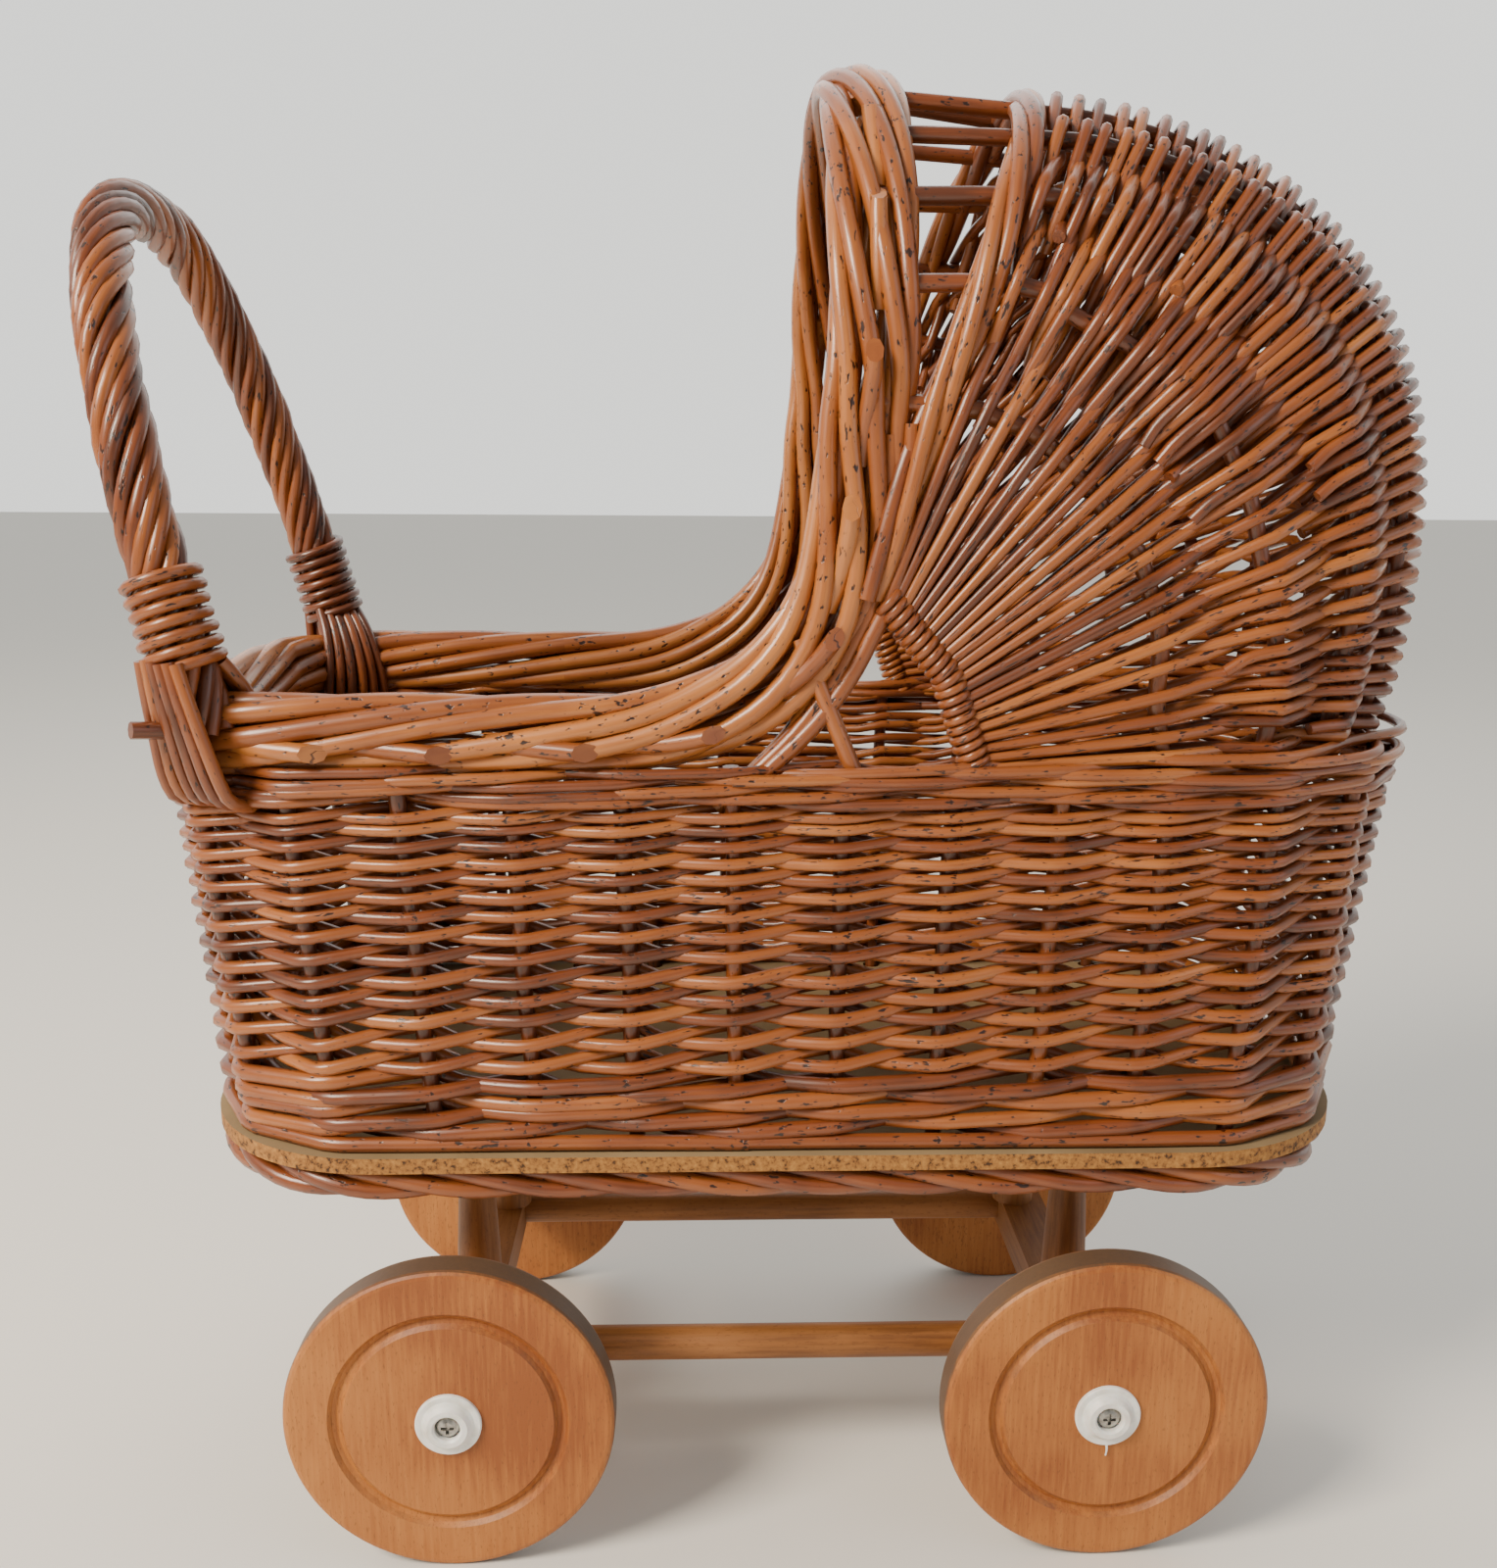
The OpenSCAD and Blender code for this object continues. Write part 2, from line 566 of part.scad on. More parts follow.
// Wheels: drawn about their own axis, outer face up, then turned into place
module at_wheel(end, side) {
  translate([axle_x + end * wheelbase / 2, side * (track / 2 - wheel_t), axle_z])
    rotate([-90 * side, 0, 0]) children();
}

edge_round = 2.5;                    // rounding of the tread's edges
module wheel() {
  r = wheel_d / 2;
  groove_mid = (groove_od + groove_id) / 4;
  edge_r = r - edge_round;
  color(beech) rotate_extrude($fn = 96) polygon(concat(
    [[bush_d / 2, 0], [edge_r, 0]],
    [for (a = [-60, -30, 0]) [edge_r + edge_round * cos(a), edge_round + edge_round * sin(a)]],
    [for (a = [0, 30, 60]) [edge_r + edge_round * cos(a), wheel_t - edge_round + edge_round * sin(a)]],
    [[edge_r, wheel_t], [groove_od / 2, wheel_t], [groove_od / 2 - 1.5, wheel_t - groove_depth * 0.7],
      [groove_mid, wheel_t - groove_depth], [groove_id / 2 + 1.5, wheel_t - groove_depth * 0.7],
      [groove_id / 2, wheel_t], [bush_d / 2, wheel_t]]));
}
module wheel_handle_near() { at_wheel(handle_end, near) wheel(); }
module wheel_handle_far() { at_wheel(handle_end, far) wheel(); }
module wheel_hood_near() { at_wheel(hood_end, near) wheel(); }
module wheel_hood_far() { at_wheel(hood_end, far) wheel(); }

flange_t = 1.6;                      // the bush: flange, raised boss, cup for the screw's head
boss_h = 4.4;
cup_depth = 4;
cup_gap = 0.4;
bush_bore = axle_d / 2 + running_fit;
module bush() {
  top = wheel_t + boss_h;
  color(plastic) rotate_extrude($fn = 64) polygon([[bush_bore, 0], [bush_d / 2, 0], [bush_d / 2, wheel_t],
    [flange_d / 2, wheel_t], [flange_d / 2, wheel_t + flange_t - 0.4], [flange_d / 2 - 0.5, wheel_t + flange_t],
    [boss_d / 2 + 1, wheel_t + flange_t], [boss_d / 2, wheel_t + flange_t + 0.8], [boss_d / 2 - 1.4, top],
    [head_d / 2 + cup_gap + 0.8, top], [head_d / 2 + cup_gap, top - 0.8],
    [head_d / 2 + cup_gap, top - cup_depth], [bush_bore, top - cup_depth]]);
}
module bush_handle_near() { at_wheel(handle_end, near) bush(); }
module bush_handle_far() { at_wheel(handle_end, far) bush(); }
module bush_hood_near() { at_wheel(hood_end, near) bush(); }
module bush_hood_far() { at_wheel(hood_end, far) bush(); }

// The screw runs through the bush into the end of the beam; its head stands in the cup
module axle_screw() {
  head_z = wheel_t + boss_h - cup_depth + end_play;
  inner = -(washer_t + 2 * end_play) - axle_hole_l;
  cross_w = 1.2;                     // the cross recess
  cross_l = 4.8;
  color(steel) difference() {
    rotate_extrude() polygon([[0, inner], [axle_d / 2, inner], [axle_d / 2, head_z], [head_d / 2, head_z],
      [head_d / 2, head_z + 1], [head_d / 2 - 0.8, head_z + 2], [head_d / 2 - 2.2, head_z + 2.6],
      [0, head_z + 2.8]]);
    for (turn = [0, 90]) rotate([0, 0, turn])
      translate([-cross_l / 2, -cross_w / 2, head_z + 1.2]) cube([cross_l, cross_w, 3]);
  }
}
module axle_screw_handle_near() { at_wheel(handle_end, near) axle_screw(); }
module axle_screw_handle_far() { at_wheel(handle_end, far) axle_screw(); }
module axle_screw_hood_near() { at_wheel(hood_end, near) axle_screw(); }
module axle_screw_hood_far() { at_wheel(hood_end, far) axle_screw(); }

module washer() {
  color(steel) translate([0, 0, -2 * end_play - washer_t]) difference() {
    cylinder(d = washer_d, h = washer_t);
    translate([0, 0, -1]) cylinder(d = axle_d, h = washer_t + 2);
  }
}
module washer_handle_near() { at_wheel(handle_end, near) washer(); }
module washer_handle_far() { at_wheel(handle_end, far) washer(); }
module washer_hood_near() { at_wheel(hood_end, near) washer(); }
module washer_hood_far() { at_wheel(hood_end, far) washer(); }

base_board();
foot_border();
side_stakes();
bottom_wale();
side_weave();
top_wale();
rim_border();
hood_front_border();
hood_inner_hoop();
hood_ribs();
hood_weave();
fan_edge_near();
fan_edge_far();
window_stakes();
handle();
handle_binding_near();
handle_binding_far();
handle_lashing_near();
handle_lashing_far();
beam_handle_end();
beam_hood_end();
rail_near();
rail_far();
post_handle_near();
post_handle_far();
post_hood_near();
post_hood_far();
board_screws();
wheel_handle_near();
wheel_handle_far();
wheel_hood_near();
wheel_hood_far();
bush_handle_near();
bush_handle_far();
bush_hood_near();
bush_hood_far();
axle_screw_handle_near();
axle_screw_handle_far();
axle_screw_hood_near();
axle_screw_hood_far();
washer_handle_near();
washer_handle_far();
washer_hood_near();
washer_hood_far();
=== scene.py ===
# Doll's pram: woven willow basket, hood and roped handle on a turned beech chassis
import bpy
import math
import random
from mathutils import Matrix, Vector


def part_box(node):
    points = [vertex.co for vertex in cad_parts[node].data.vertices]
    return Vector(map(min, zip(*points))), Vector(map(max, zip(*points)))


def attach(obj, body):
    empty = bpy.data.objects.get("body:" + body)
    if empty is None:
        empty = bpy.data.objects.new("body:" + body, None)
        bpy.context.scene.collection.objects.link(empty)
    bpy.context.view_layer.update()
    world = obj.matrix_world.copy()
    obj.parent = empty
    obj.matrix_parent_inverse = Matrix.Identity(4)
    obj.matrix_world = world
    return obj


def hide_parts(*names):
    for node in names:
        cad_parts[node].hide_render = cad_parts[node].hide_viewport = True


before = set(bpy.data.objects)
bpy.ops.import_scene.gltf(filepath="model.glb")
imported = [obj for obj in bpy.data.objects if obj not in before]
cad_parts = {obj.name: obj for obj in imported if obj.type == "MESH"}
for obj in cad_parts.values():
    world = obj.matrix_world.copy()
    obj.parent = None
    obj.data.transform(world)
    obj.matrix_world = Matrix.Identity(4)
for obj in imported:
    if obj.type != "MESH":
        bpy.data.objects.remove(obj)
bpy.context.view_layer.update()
bpy.ops.object.select_all(action="DESELECT")

mm = 0.001                      # the frame is in metres, the measures below in millimetres
dice = random.Random(41)
near, far = -1, 1
turn360 = 2 * math.pi


def span(node):                 # a CAD node's two corners in millimetres
    low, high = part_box(node)
    return low / mm, high / mm


boardLow, boardHigh = span("base_board")
waleLow, waleHigh = span("bottom_wale")
topLow, topHigh = span("top_wale")
borderLow, borderHigh = span("rim_border")
archHigh = span("hood_front_border")[1]
hoodHigh = span("hood_weave")[1]
handleLow = span("handle")[0]

# colours and finishes of the willow


def linearColour(code):         # sRGB hex to the linear numbers that a shader wants
    parts = [int(code[i:i + 2], 16) / 255 for i in (1, 3, 5)]
    return tuple(c / 12.92 if c <= 0.04045 else ((c + 0.055) / 1.055) ** 2.4 for c in parts) + (1,)


def newMaterial(name):
    material = bpy.data.materials.new(name)
    material.use_nodes = True
    return material, material.node_tree.nodes["Principled BSDF"]


def addNode(material, kind, values=None, links=None, stops=None, **settings):
    node = material.node_tree.nodes.new(kind)
    for name, value in settings.items():
        setattr(node, name, value)
    for socket, value in (values or {}).items():
        node.inputs[socket].default_value = value
    for socket, source in (links or {}).items():
        material.node_tree.links.new(source, node.inputs[socket])
    if stops:                   # places and colours along a colour ramp
        while len(node.color_ramp.elements) < len(stops):
            node.color_ramp.elements.new(0.5)
        for element, (place, colour) in zip(node.color_ramp.elements, stops):
            element.position = place
            element.color = linearColour(colour)
    return node


willowLook = {
    "pale": "#b9753a", "middle": "#965424", "red": "#783c19", "dark": "#54280f",
    "fleck": "#2a1208", "worn": "#e8dccb", "cut": "#bd8a50", "cutRing": "#6a401c",
    "roughness": 0.36, "coat": 0.34, "coatRoughness": 0.18,
    "girth": 15,                # millimetres round a rod
    "streak": (1.1, 30), "fleckSize": (1.6, 5.2), "blotch": 30,
}


def willowMaterial(name, shift=0.0, worn=0.0):
    # steamed buff willow, stained and varnished: long grain streaks, dark leaf scars, a soft gloss
    look = willowLook
    material, shader = newMaterial(name)
    uv = addNode(material, "ShaderNodeUVMap", uv_map="UVMap")
    tone = addNode(material, "ShaderNodeAttribute", attribute_name="tone")

    def pattern(across, along, detail, rough=0.5):      # noise stretched along the rod
        scale = (look["girth"] / across, 1 / (along * mm), 1)
        place = addNode(material, "ShaderNodeMapping", {"Scale": scale},
                        {"Vector": uv.outputs["UV"]})
        return addNode(material, "ShaderNodeTexNoise", {"Scale": 1, "Detail": detail, "Roughness": rough},
                       {"Vector": place.outputs["Vector"]})

    streak = pattern(*look["streak"], 3)
    blotch = pattern(30, look["blotch"], 2)
    patch = pattern(40, 60, 1)
    fleck = pattern(*look["fleckSize"], 2, 0.6)
    mixTone = addNode(material, "ShaderNodeMath", {1: 0.44, 2: shift + 0.08}, {0: tone.outputs["Fac"]},
                      operation="MULTIPLY_ADD")
    streaky = addNode(material, "ShaderNodeMath", {1: 0.34}, {0: streak.outputs["Fac"],
                      2: mixTone.outputs[0]}, operation="MULTIPLY_ADD")
    stained = addNode(material, "ShaderNodeMath", {1: 0.5}, {0: blotch.outputs["Fac"],
                      2: streaky.outputs[0]}, operation="MULTIPLY_ADD")
    body = addNode(material, "ShaderNodeValToRGB", links={"Fac": stained.outputs[0]},
                   stops=[(0.3, look["pale"]), (0.58, look["middle"]), (0.85, look["red"]),
                          (1.0, look["dark"])])
    cluster = addNode(material, "ShaderNodeMapRange",
                      {"From Min": 0.5, "From Max": 0.68, "To Min": 0.0, "To Max": 0.075},
                      {"Value": patch.outputs["Fac"]})
    fleckSum = addNode(material, "ShaderNodeMath", links={0: fleck.outputs["Fac"], 1: cluster.outputs[0]},
                       operation="ADD")
    fleckMask = addNode(material, "ShaderNodeMapRange", {"From Min": 0.635, "From Max": 0.69},
                        {"Value": fleckSum.outputs[0]})
    flecked = addNode(material, "ShaderNodeMix", data_type="RGBA")
    flecked.inputs[7].default_value = linearColour(look["fleck"])
    material.node_tree.links.new(fleckMask.outputs[0], flecked.inputs[0])
    material.node_tree.links.new(body.outputs["Color"], flecked.inputs[6])
    colour = flecked.outputs[2]
    if worn:                    # varnish rubbed through to the pale bark on the border's outside
        rub = pattern(7, 16, 4, 0.7)
        rubMask = addNode(material, "ShaderNodeMapRange", {"From Min": worn, "From Max": worn + 0.04},
                          {"Value": rub.outputs["Fac"]})
        rubbed = addNode(material, "ShaderNodeMix", data_type="RGBA")
        rubbed.inputs[7].default_value = linearColour(look["worn"])
        material.node_tree.links.new(rubMask.outputs[0], rubbed.inputs[0])
        material.node_tree.links.new(colour, rubbed.inputs[6])
        colour = rubbed.outputs[2]
    material.node_tree.links.new(colour, shader.inputs["Base Color"])
    gloss = addNode(material, "ShaderNodeMapRange",
                    {"To Min": look["roughness"] - 0.1, "To Max": look["roughness"] + 0.14},
                    {"Value": blotch.outputs["Fac"]})
    material.node_tree.links.new(gloss.outputs[0], shader.inputs["Roughness"])
    relief = addNode(material, "ShaderNodeMath", {1: -0.8},
                     {0: fleckMask.outputs[0], 2: streak.outputs["Fac"]},
                     operation="MULTIPLY_ADD")
    bump = addNode(material, "ShaderNodeBump", {"Strength": 0.5, "Distance": 0.35 * mm},
                   {"Height": relief.outputs[0]})
    material.node_tree.links.new(bump.outputs["Normal"], shader.inputs["Normal"])
    shader.inputs["Coat Weight"].default_value = look["coat"]
    shader.inputs["Coat Roughness"].default_value = look["coatRoughness"]
    return material


def cutMaterial():
    # sawn willow end: pale open grain, no varnish, a darker pith
    material, shader = newMaterial("cut willow end")
    place = addNode(material, "ShaderNodeTexCoord")
    spot = {"Vector": place.outputs["Object"]}
    grain = addNode(material, "ShaderNodeTexNoise", {"Scale": 900, "Detail": 3}, spot)
    colour = addNode(material, "ShaderNodeValToRGB", links={"Fac": grain.outputs["Fac"]},
                     stops=[(0.3, willowLook["cutRing"]), (0.55, willowLook["cut"]), (0.75, "#d8ad72")])
    material.node_tree.links.new(colour.outputs["Color"], shader.inputs["Base Color"])
    bump = addNode(material, "ShaderNodeBump", {"Strength": 0.6, "Distance": 0.3 * mm},
                   {"Height": grain.outputs["Fac"]})
    material.node_tree.links.new(bump.outputs["Normal"], shader.inputs["Normal"])
    shader.inputs["Roughness"].default_value = 0.75
    return material


willow = willowMaterial("varnished willow weavers", 0.0)
willowStakes = willowMaterial("varnished willow stakes", 0.22)
willowBorder = willowMaterial("varnished willow border rods", -0.16, 0.72)
willowRope = willowMaterial("varnished willow handle rods", 0.08)
willowEnd = cutMaterial()

# many willow rods are drawn as one piece


def bendRods(name, rods, material, node, sides=8):
    # each rod is its points, its radius (or one for each point) and whether it closes on itself,
    # with the way its last end is cut to face, if it is cut on a slant
    bpy.ops.curve.primitive_bezier_curve_add(location=(0, 0, 0))
    piece = bpy.context.object
    piece.name = name.replace(" ", "_")
    curve = piece.data
    curve.splines.clear()
    curve.dimensions = "3D"
    curve.bevel_depth = 1.0
    curve.bevel_resolution = (sides - 4) // 2
    curve.use_fill_caps = True
    curve.twist_mode = "MINIMUM"
    lengths, tones = [], []
    for points, radius, closed, *_ in rods:
        spline = curve.splines.new("POLY")
        spline.points.add(len(points) - 1)
        spline.use_cyclic_u = closed
        spline.use_smooth = True
        for i, (target, place) in enumerate(zip(spline.points, points)):
            target.co = (place[0] * mm, place[1] * mm, place[2] * mm, 1)
            target.radius = (radius[i] if isinstance(radius, list) else radius) * mm
        lengths.append(sum((Vector(b) - Vector(a)).length for a, b in zip(points, points[1:])) * mm)
        tones.append(dice.random())
    bpy.ops.object.convert(target="MESH")
    mesh = bpy.context.object.data
    # the end caps come first, the last rod's before the others
    owner = [n for n in reversed(range(len(rods))) if not rods[n][2] for _ in range(2 * sides)]
    owner += [n for n, rod in enumerate(rods) for _ in range(len(rod[0]) * sides)]
    if len(owner) != len(mesh.vertices):
        raise RuntimeError(f"{name}: {len(owner)} points expected, {len(mesh.vertices)} made")
    caps, body = len(mesh.vertices) - sum(len(rod[0]) for rod in rods) * sides, 0
    for rod in rods:
        if not rod[2]:
            caps -= 2 * sides
        body += len(rod[0]) * sides
        if len(rod) > 3:        # slide the last ring along the rod, most on the side that faces out
            tip, facing = Vector(rod[0][-1]) * mm, Vector(rod[3]).normalized()
            along = (tip - Vector(rod[0][-2]) * mm).normalized()
            first = sum(2 * sides for r in rods if not r[2]) + body - sides
            for vertex in [*range(caps, caps + sides), *range(first, first + sides)]:
                co = mesh.vertices[vertex].co
                co -= along * (co - tip).dot(facing) * 1.2
    uv = mesh.uv_layers["UVMap"].data
    tone = mesh.attributes.new("tone", "FLOAT", "POINT").data
    for vertex, rod in enumerate(owner):
        tone[vertex].value = tones[rod]
    for face in mesh.polygons:
        rod = owner[face.vertices[0]]
        for corner in face.loop_indices:
            u, v = uv[corner].uv
            uv[corner].uv = (v + 0.61 * rod, u * lengths[rod] + rod * 0.37)
        face.material_index = 1 if len(face.vertices) == 3 else 0
    mesh.materials.clear()
    mesh.materials.append(material)
    mesh.materials.append(willowEnd)
    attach(piece, "pram")
    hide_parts(*node)
    piece.select_set(False)
    print("bent", name, len(rods), "rods", len(mesh.polygons), "faces")
    return piece


def smoothTrack(keys, step, closed=False):      # rows of numbers, the first three a place
    count = len(keys)
    fine = []
    for i in range(count if closed else count - 1):
        a = keys[i - 1] if closed or i else keys[i]
        b, c = keys[i], keys[(i + 1) % count]
        d = keys[(i + 2) % count] if closed or i + 2 < count else keys[i + 1]
        for s in range(8):
            t = s / 8
            fine.append([0.5 * (2 * q + (r - p) * t + (2 * p - 5 * q + 4 * r - w) * t * t
                                + (3 * q - p - 3 * r + w) * t ** 3) for p, q, r, w in zip(a, b, c, d)])
    fine.append(list(keys[0] if closed else keys[-1]))
    spots = [0.0]
    for a, b in zip(fine, fine[1:]):
        spots.append(spots[-1] + math.dist(a[:3], b[:3]))
    total = spots[-1]
    wanted = max(2, round(total / step))
    rows, j = [], 0
    for i in range(wanted if closed else wanted + 1):
        d = total * i / wanted
        while j < len(spots) - 2 and spots[j + 1] < d:
            j += 1
        t = (d - spots[j]) / max(spots[j + 1] - spots[j], 1e-9)
        rows.append([p + (q - p) * t for p, q in zip(fine[j], fine[j + 1])])
    return rows, total


def frameAt(rows, i, closed=False):             # the place, the direction across and the direction out
    count = len(rows)
    before = rows[i - 1] if closed or i else rows[i]
    after = rows[(i + 1) % count] if closed or i + 1 < count else rows[i]
    along = (Vector(after[:3]) - Vector(before[:3])).normalized()
    across = Vector(rows[i][3:6]).cross(along).normalized()
    return Vector(rows[i][:3]), across, along.cross(across)


def wander(size, waves=(2, 5)):                 # a slow unevenness along a rod
    a, b = dice.uniform(0, 6.28), dice.uniform(0, 6.28)
    return lambda f: size * (math.sin(waves[0] * 6.283 * f + a)
                             + 0.6 * math.sin(waves[1] * 6.283 * f + b)) / 1.6


# the basket
wall = {
    "stakes": 32, "stakeRadius": 3.0, "middle": 6,      # stakes stand 6 mm inside the wall's face
    "below": 9, "above": 4, "steps": 8,                 # how far they pass the board and the top wale
    "footRadius": 66, "rimRadiusHandle": 56, "rimRadiusHood": 84, "nudge": 0.004,
}


def planAt(z):                  # the wall's outline: handle end, hood end, half width, two corner radii
    f = (z - waleHigh.z) / (topHigh.z - waleHigh.z)
    g = (z - boardHigh.z) / (topHigh.z - boardHigh.z)
    return [waleLow.x + (topLow.x - waleLow.x) * f, waleHigh.x + (topHigh.x - waleHigh.x) * f,
            waleHigh.y + (topHigh.y - waleHigh.y) * f,
            wall["footRadius"] + (wall["rimRadiusHandle"] - wall["footRadius"]) * g,
            wall["footRadius"] + (wall["rimRadiusHood"] - wall["footRadius"]) * g]


def inset(plan, depth):
    return [plan[0] + depth] + [plan[1] - depth] + [v - depth for v in plan[2:]]


def roundPoint(plan, part):     # a point part of the way round, anticlockwise from the hood end
    part %= 1
    side = 1 if part <= 0.5 else -1
    x0, x1, half, r0, r1 = plan
    runs = [half - r1, r1 * math.pi / 2, x1 - r1 - x0 - r0, r0 * math.pi / 2, half - r0]
    d = (2 * part if part <= 0.5 else 2 - 2 * part) * sum(runs)
    if d < runs[0]:
        return x1, side * d
    d -= runs[0]
    if d < runs[1]:
        a = d / r1
        return x1 - r1 + r1 * math.cos(a), side * (half - r1 + r1 * math.sin(a))
    d -= runs[1]
    if d < runs[2]:
        return x1 - r1 - d, side * half
    d -= runs[2]
    if d < runs[3]:
        a = math.pi / 2 + d / r0
        return x0 + r0 + r0 * math.cos(a), side * (half - r0 + r0 * math.sin(a))
    return x0, side * (half - r0 - (d - runs[3]))


def besideStake(k, z, out):     # a point at stake k, outside the stake if out is above 0
    plan = inset(planAt(z), wall["middle"])
    part = (k + 0.5) / wall["stakes"]
    x, y = roundPoint(plan, part)
    ax, ay = roundPoint(plan, part - wall["nudge"])
    bx, by = roundPoint(plan, part + wall["nudge"])
    along = Vector((bx - ax, by - ay)).normalized()
    return Vector((x + along.y * out, y - along.x * out, z))


stakeRods = []
low, high = boardLow.z - wall["below"], topHigh.z + wall["above"]
steps = wall["steps"]
for k in range(wall["stakes"]):
    sway = wander(0.5)
    points = [besideStake(k + sway(t / steps) / 40, low + (high - low) * t / steps, 0)
              for t in range(steps + 1)]
    stakeRods.append((points, wall["stakeRadius"] * dice.uniform(0.94, 1.04), False))
bendRods("stakes", stakeRods, willowStakes, ["side_stakes"])

upLift = [0.0, 0.12, 0.36, 0.62, 0.84, 0.97]        # how a weaver climbs on its way inside
downLift = [1.0, 0.62, 0.02, -0.16, -0.13, -0.05]   # and drops on its way out again
bayStops = [0.0, 0.1, 0.3, 0.5, 0.7, 0.9]


def weaverPoints(z, fronts, lifts, out, spread, start, bays):
    # fronts and lifts repeat stake by stake: in front or behind, and the rise above the row
    period = len(fronts)
    knots = []
    for k in range(start - 1, start + bays + 2):
        place = out if fronts[k % period] else -out
        knots.append((besideStake(k, z, place + dice.uniform(-0.3, 0.3)),
                      lifts[k % period] + dice.uniform(-spread, spread),
                      fronts[k % period]))
    points = []
    for i in range(1, len(knots) - 1):
        (a, liftA, frontA), (b, liftB, frontB) = knots[i], knots[i + 1]
        before = knots[i - 1][0]
        if i == len(knots) - 2:                         # the tail lies behind the last stake
            points += [(a.x, a.y, z + liftA), (*a.lerp(b, 0.12)[:2], z + liftA)]
            break
        for n, t in enumerate(bayStops):
            if frontA and not frontB:
                lift = liftA + (liftB - liftA) * upLift[n]
            elif frontB and not frontA:
                lift = liftB + (liftA - liftB) * downLift[n]
            else:
                lift = liftA + (liftB - liftA) * t
            spot = a.lerp(b, t)
            if n == 0:          # the rod is too stiff to turn sharply at the stake
                spot = a * 0.8 + (before + b) * 0.1
                spot = a.lerp(spot, 0.45)
            points.append((spot.x, spot.y, z + lift))
    return points


sideWeave = {
    "rows": [0, 0.098, 0.196, 0.277, 0.354, 0.446, 0.531, 0.613, 0.686, 0.76, 0.819, 0.888, 0.952, 1],
    "radius": (2.6, 1.95), "lift": (4.4, 2.6), "out": 5.2, "spread": 0.4,      # at the bottom, at the top
    "clear": (1.6, 4.2),        # from the bottom wale to the first row, from the last row to the top wale
}
weaverRods = []
lowest, highest = waleHigh.z + sideWeave["clear"][0], topLow.z - sideWeave["clear"][1]
for place in sideWeave["rows"]:
    z = lowest + (highest - lowest) * place
    rowRadius, rowLift = (a + (b - a) * place for a, b in (sideWeave["radius"], sideWeave["lift"]))
    for strand in (0, 1):
        fronts = [1, 0] if strand == 0 else [0, 1]
        lifts = [0 if f else rowLift for f in fronts]
        joint = strand + 1 + 2 * dice.randrange(15)     # a new rod is laid in behind a stake
        second = joint + 14 + 2 * dice.randrange(3)
        for start, end in ((joint, second), (second, joint + wall["stakes"])):
            weaverRods.append((weaverPoints(z, fronts, lifts, sideWeave["out"], sideWeave["spread"],
                                            start, end - start),
                               rowRadius * dice.uniform(0.93, 1.07), False))
bendRods("side weave", weaverRods, willow, ["side_weave"])

bottomWale = {"rods": 7, "radius": 3.05, "out": 5.2, "spread": 0.4, "bays": (15, 18), "loose": 1.05}
waleRods = []
pitch = (waleHigh.z - boardHigh.z - 2 * bottomWale["radius"]) / bottomWale["rods"] * bottomWale["loose"]
for row in range(bottomWale["rods"]):
    fronts = [1, 1, 0][row % 3:] + [1, 1, 0][:row % 3]
    lifts = [0, pitch / 2, pitch][row % 3:] + [0, pitch / 2, pitch][:row % 3]
    start = fronts.index(0) + 3 * dice.randrange(8)
    if row == 0:                # the first rod stays outside and hides the stake holes
        fronts, lifts = [1, 1, 1], [0, 0, 0]
    z = boardHigh.z + bottomWale["radius"] + row * pitch
    for first, bays in zip((start, start + bottomWale["bays"][0]), bottomWale["bays"]):
        waleRods.append((weaverPoints(z, fronts, lifts, bottomWale["out"], bottomWale["spread"], first, bays),
                         bottomWale["radius"] * dice.uniform(0.92, 1.06), False))
bendRods("bottom wale", waleRods, willow, ["bottom_wale"])

topWale = {
    "rods": 6, "pitch": 2.15, "radius": 2.1, "out": 5.3, "spread": 0.4, "bays": (15, 18),
    "climbing": 4, "climb": (1.5, 3.1), "reach": 9,     # climbing rods reach this many stakes each way
}
waleRods = []
pitch = topWale["pitch"]
for row in range(topWale["rods"]):
    fronts = [1, 1, 0][row % 3:] + [1, 1, 0][:row % 3]
    lifts = [0, pitch / 2, pitch][row % 3:] + [0, pitch / 2, pitch][:row % 3]
    start = fronts.index(0) + 3 * dice.randrange(8)
    z = topLow.z + 0.6 + row * pitch
    for first, bays in zip((start, start + topWale["bays"][0]), topWale["bays"]):
        waleRods.append((weaverPoints(z, fronts, lifts, topWale["out"], topWale["spread"], first, bays),
                         topWale["radius"] * dice.uniform(0.9, 1.06), False))
for row in range(topWale["climbing"]):                  # rods that climb a little round the hood end
    points = []
    for k in range(-topWale["reach"], topWale["reach"]):
        f = 1 - ((k + 0.5) / topWale["reach"]) ** 2
        z = topHigh.z - 1 + f * (topWale["climb"][0] + topWale["climb"][1] * row)
        points.append(list(besideStake(k, z, topWale["out"] if (k + row) % 3 else -topWale["out"])))
    rows = smoothTrack(points, 8)[0]
    waleRods.append((rows, topWale["radius"] * dice.uniform(0.9, 1.1), False))
bendRods("top wale", waleRods, willow, ["top_wale"])

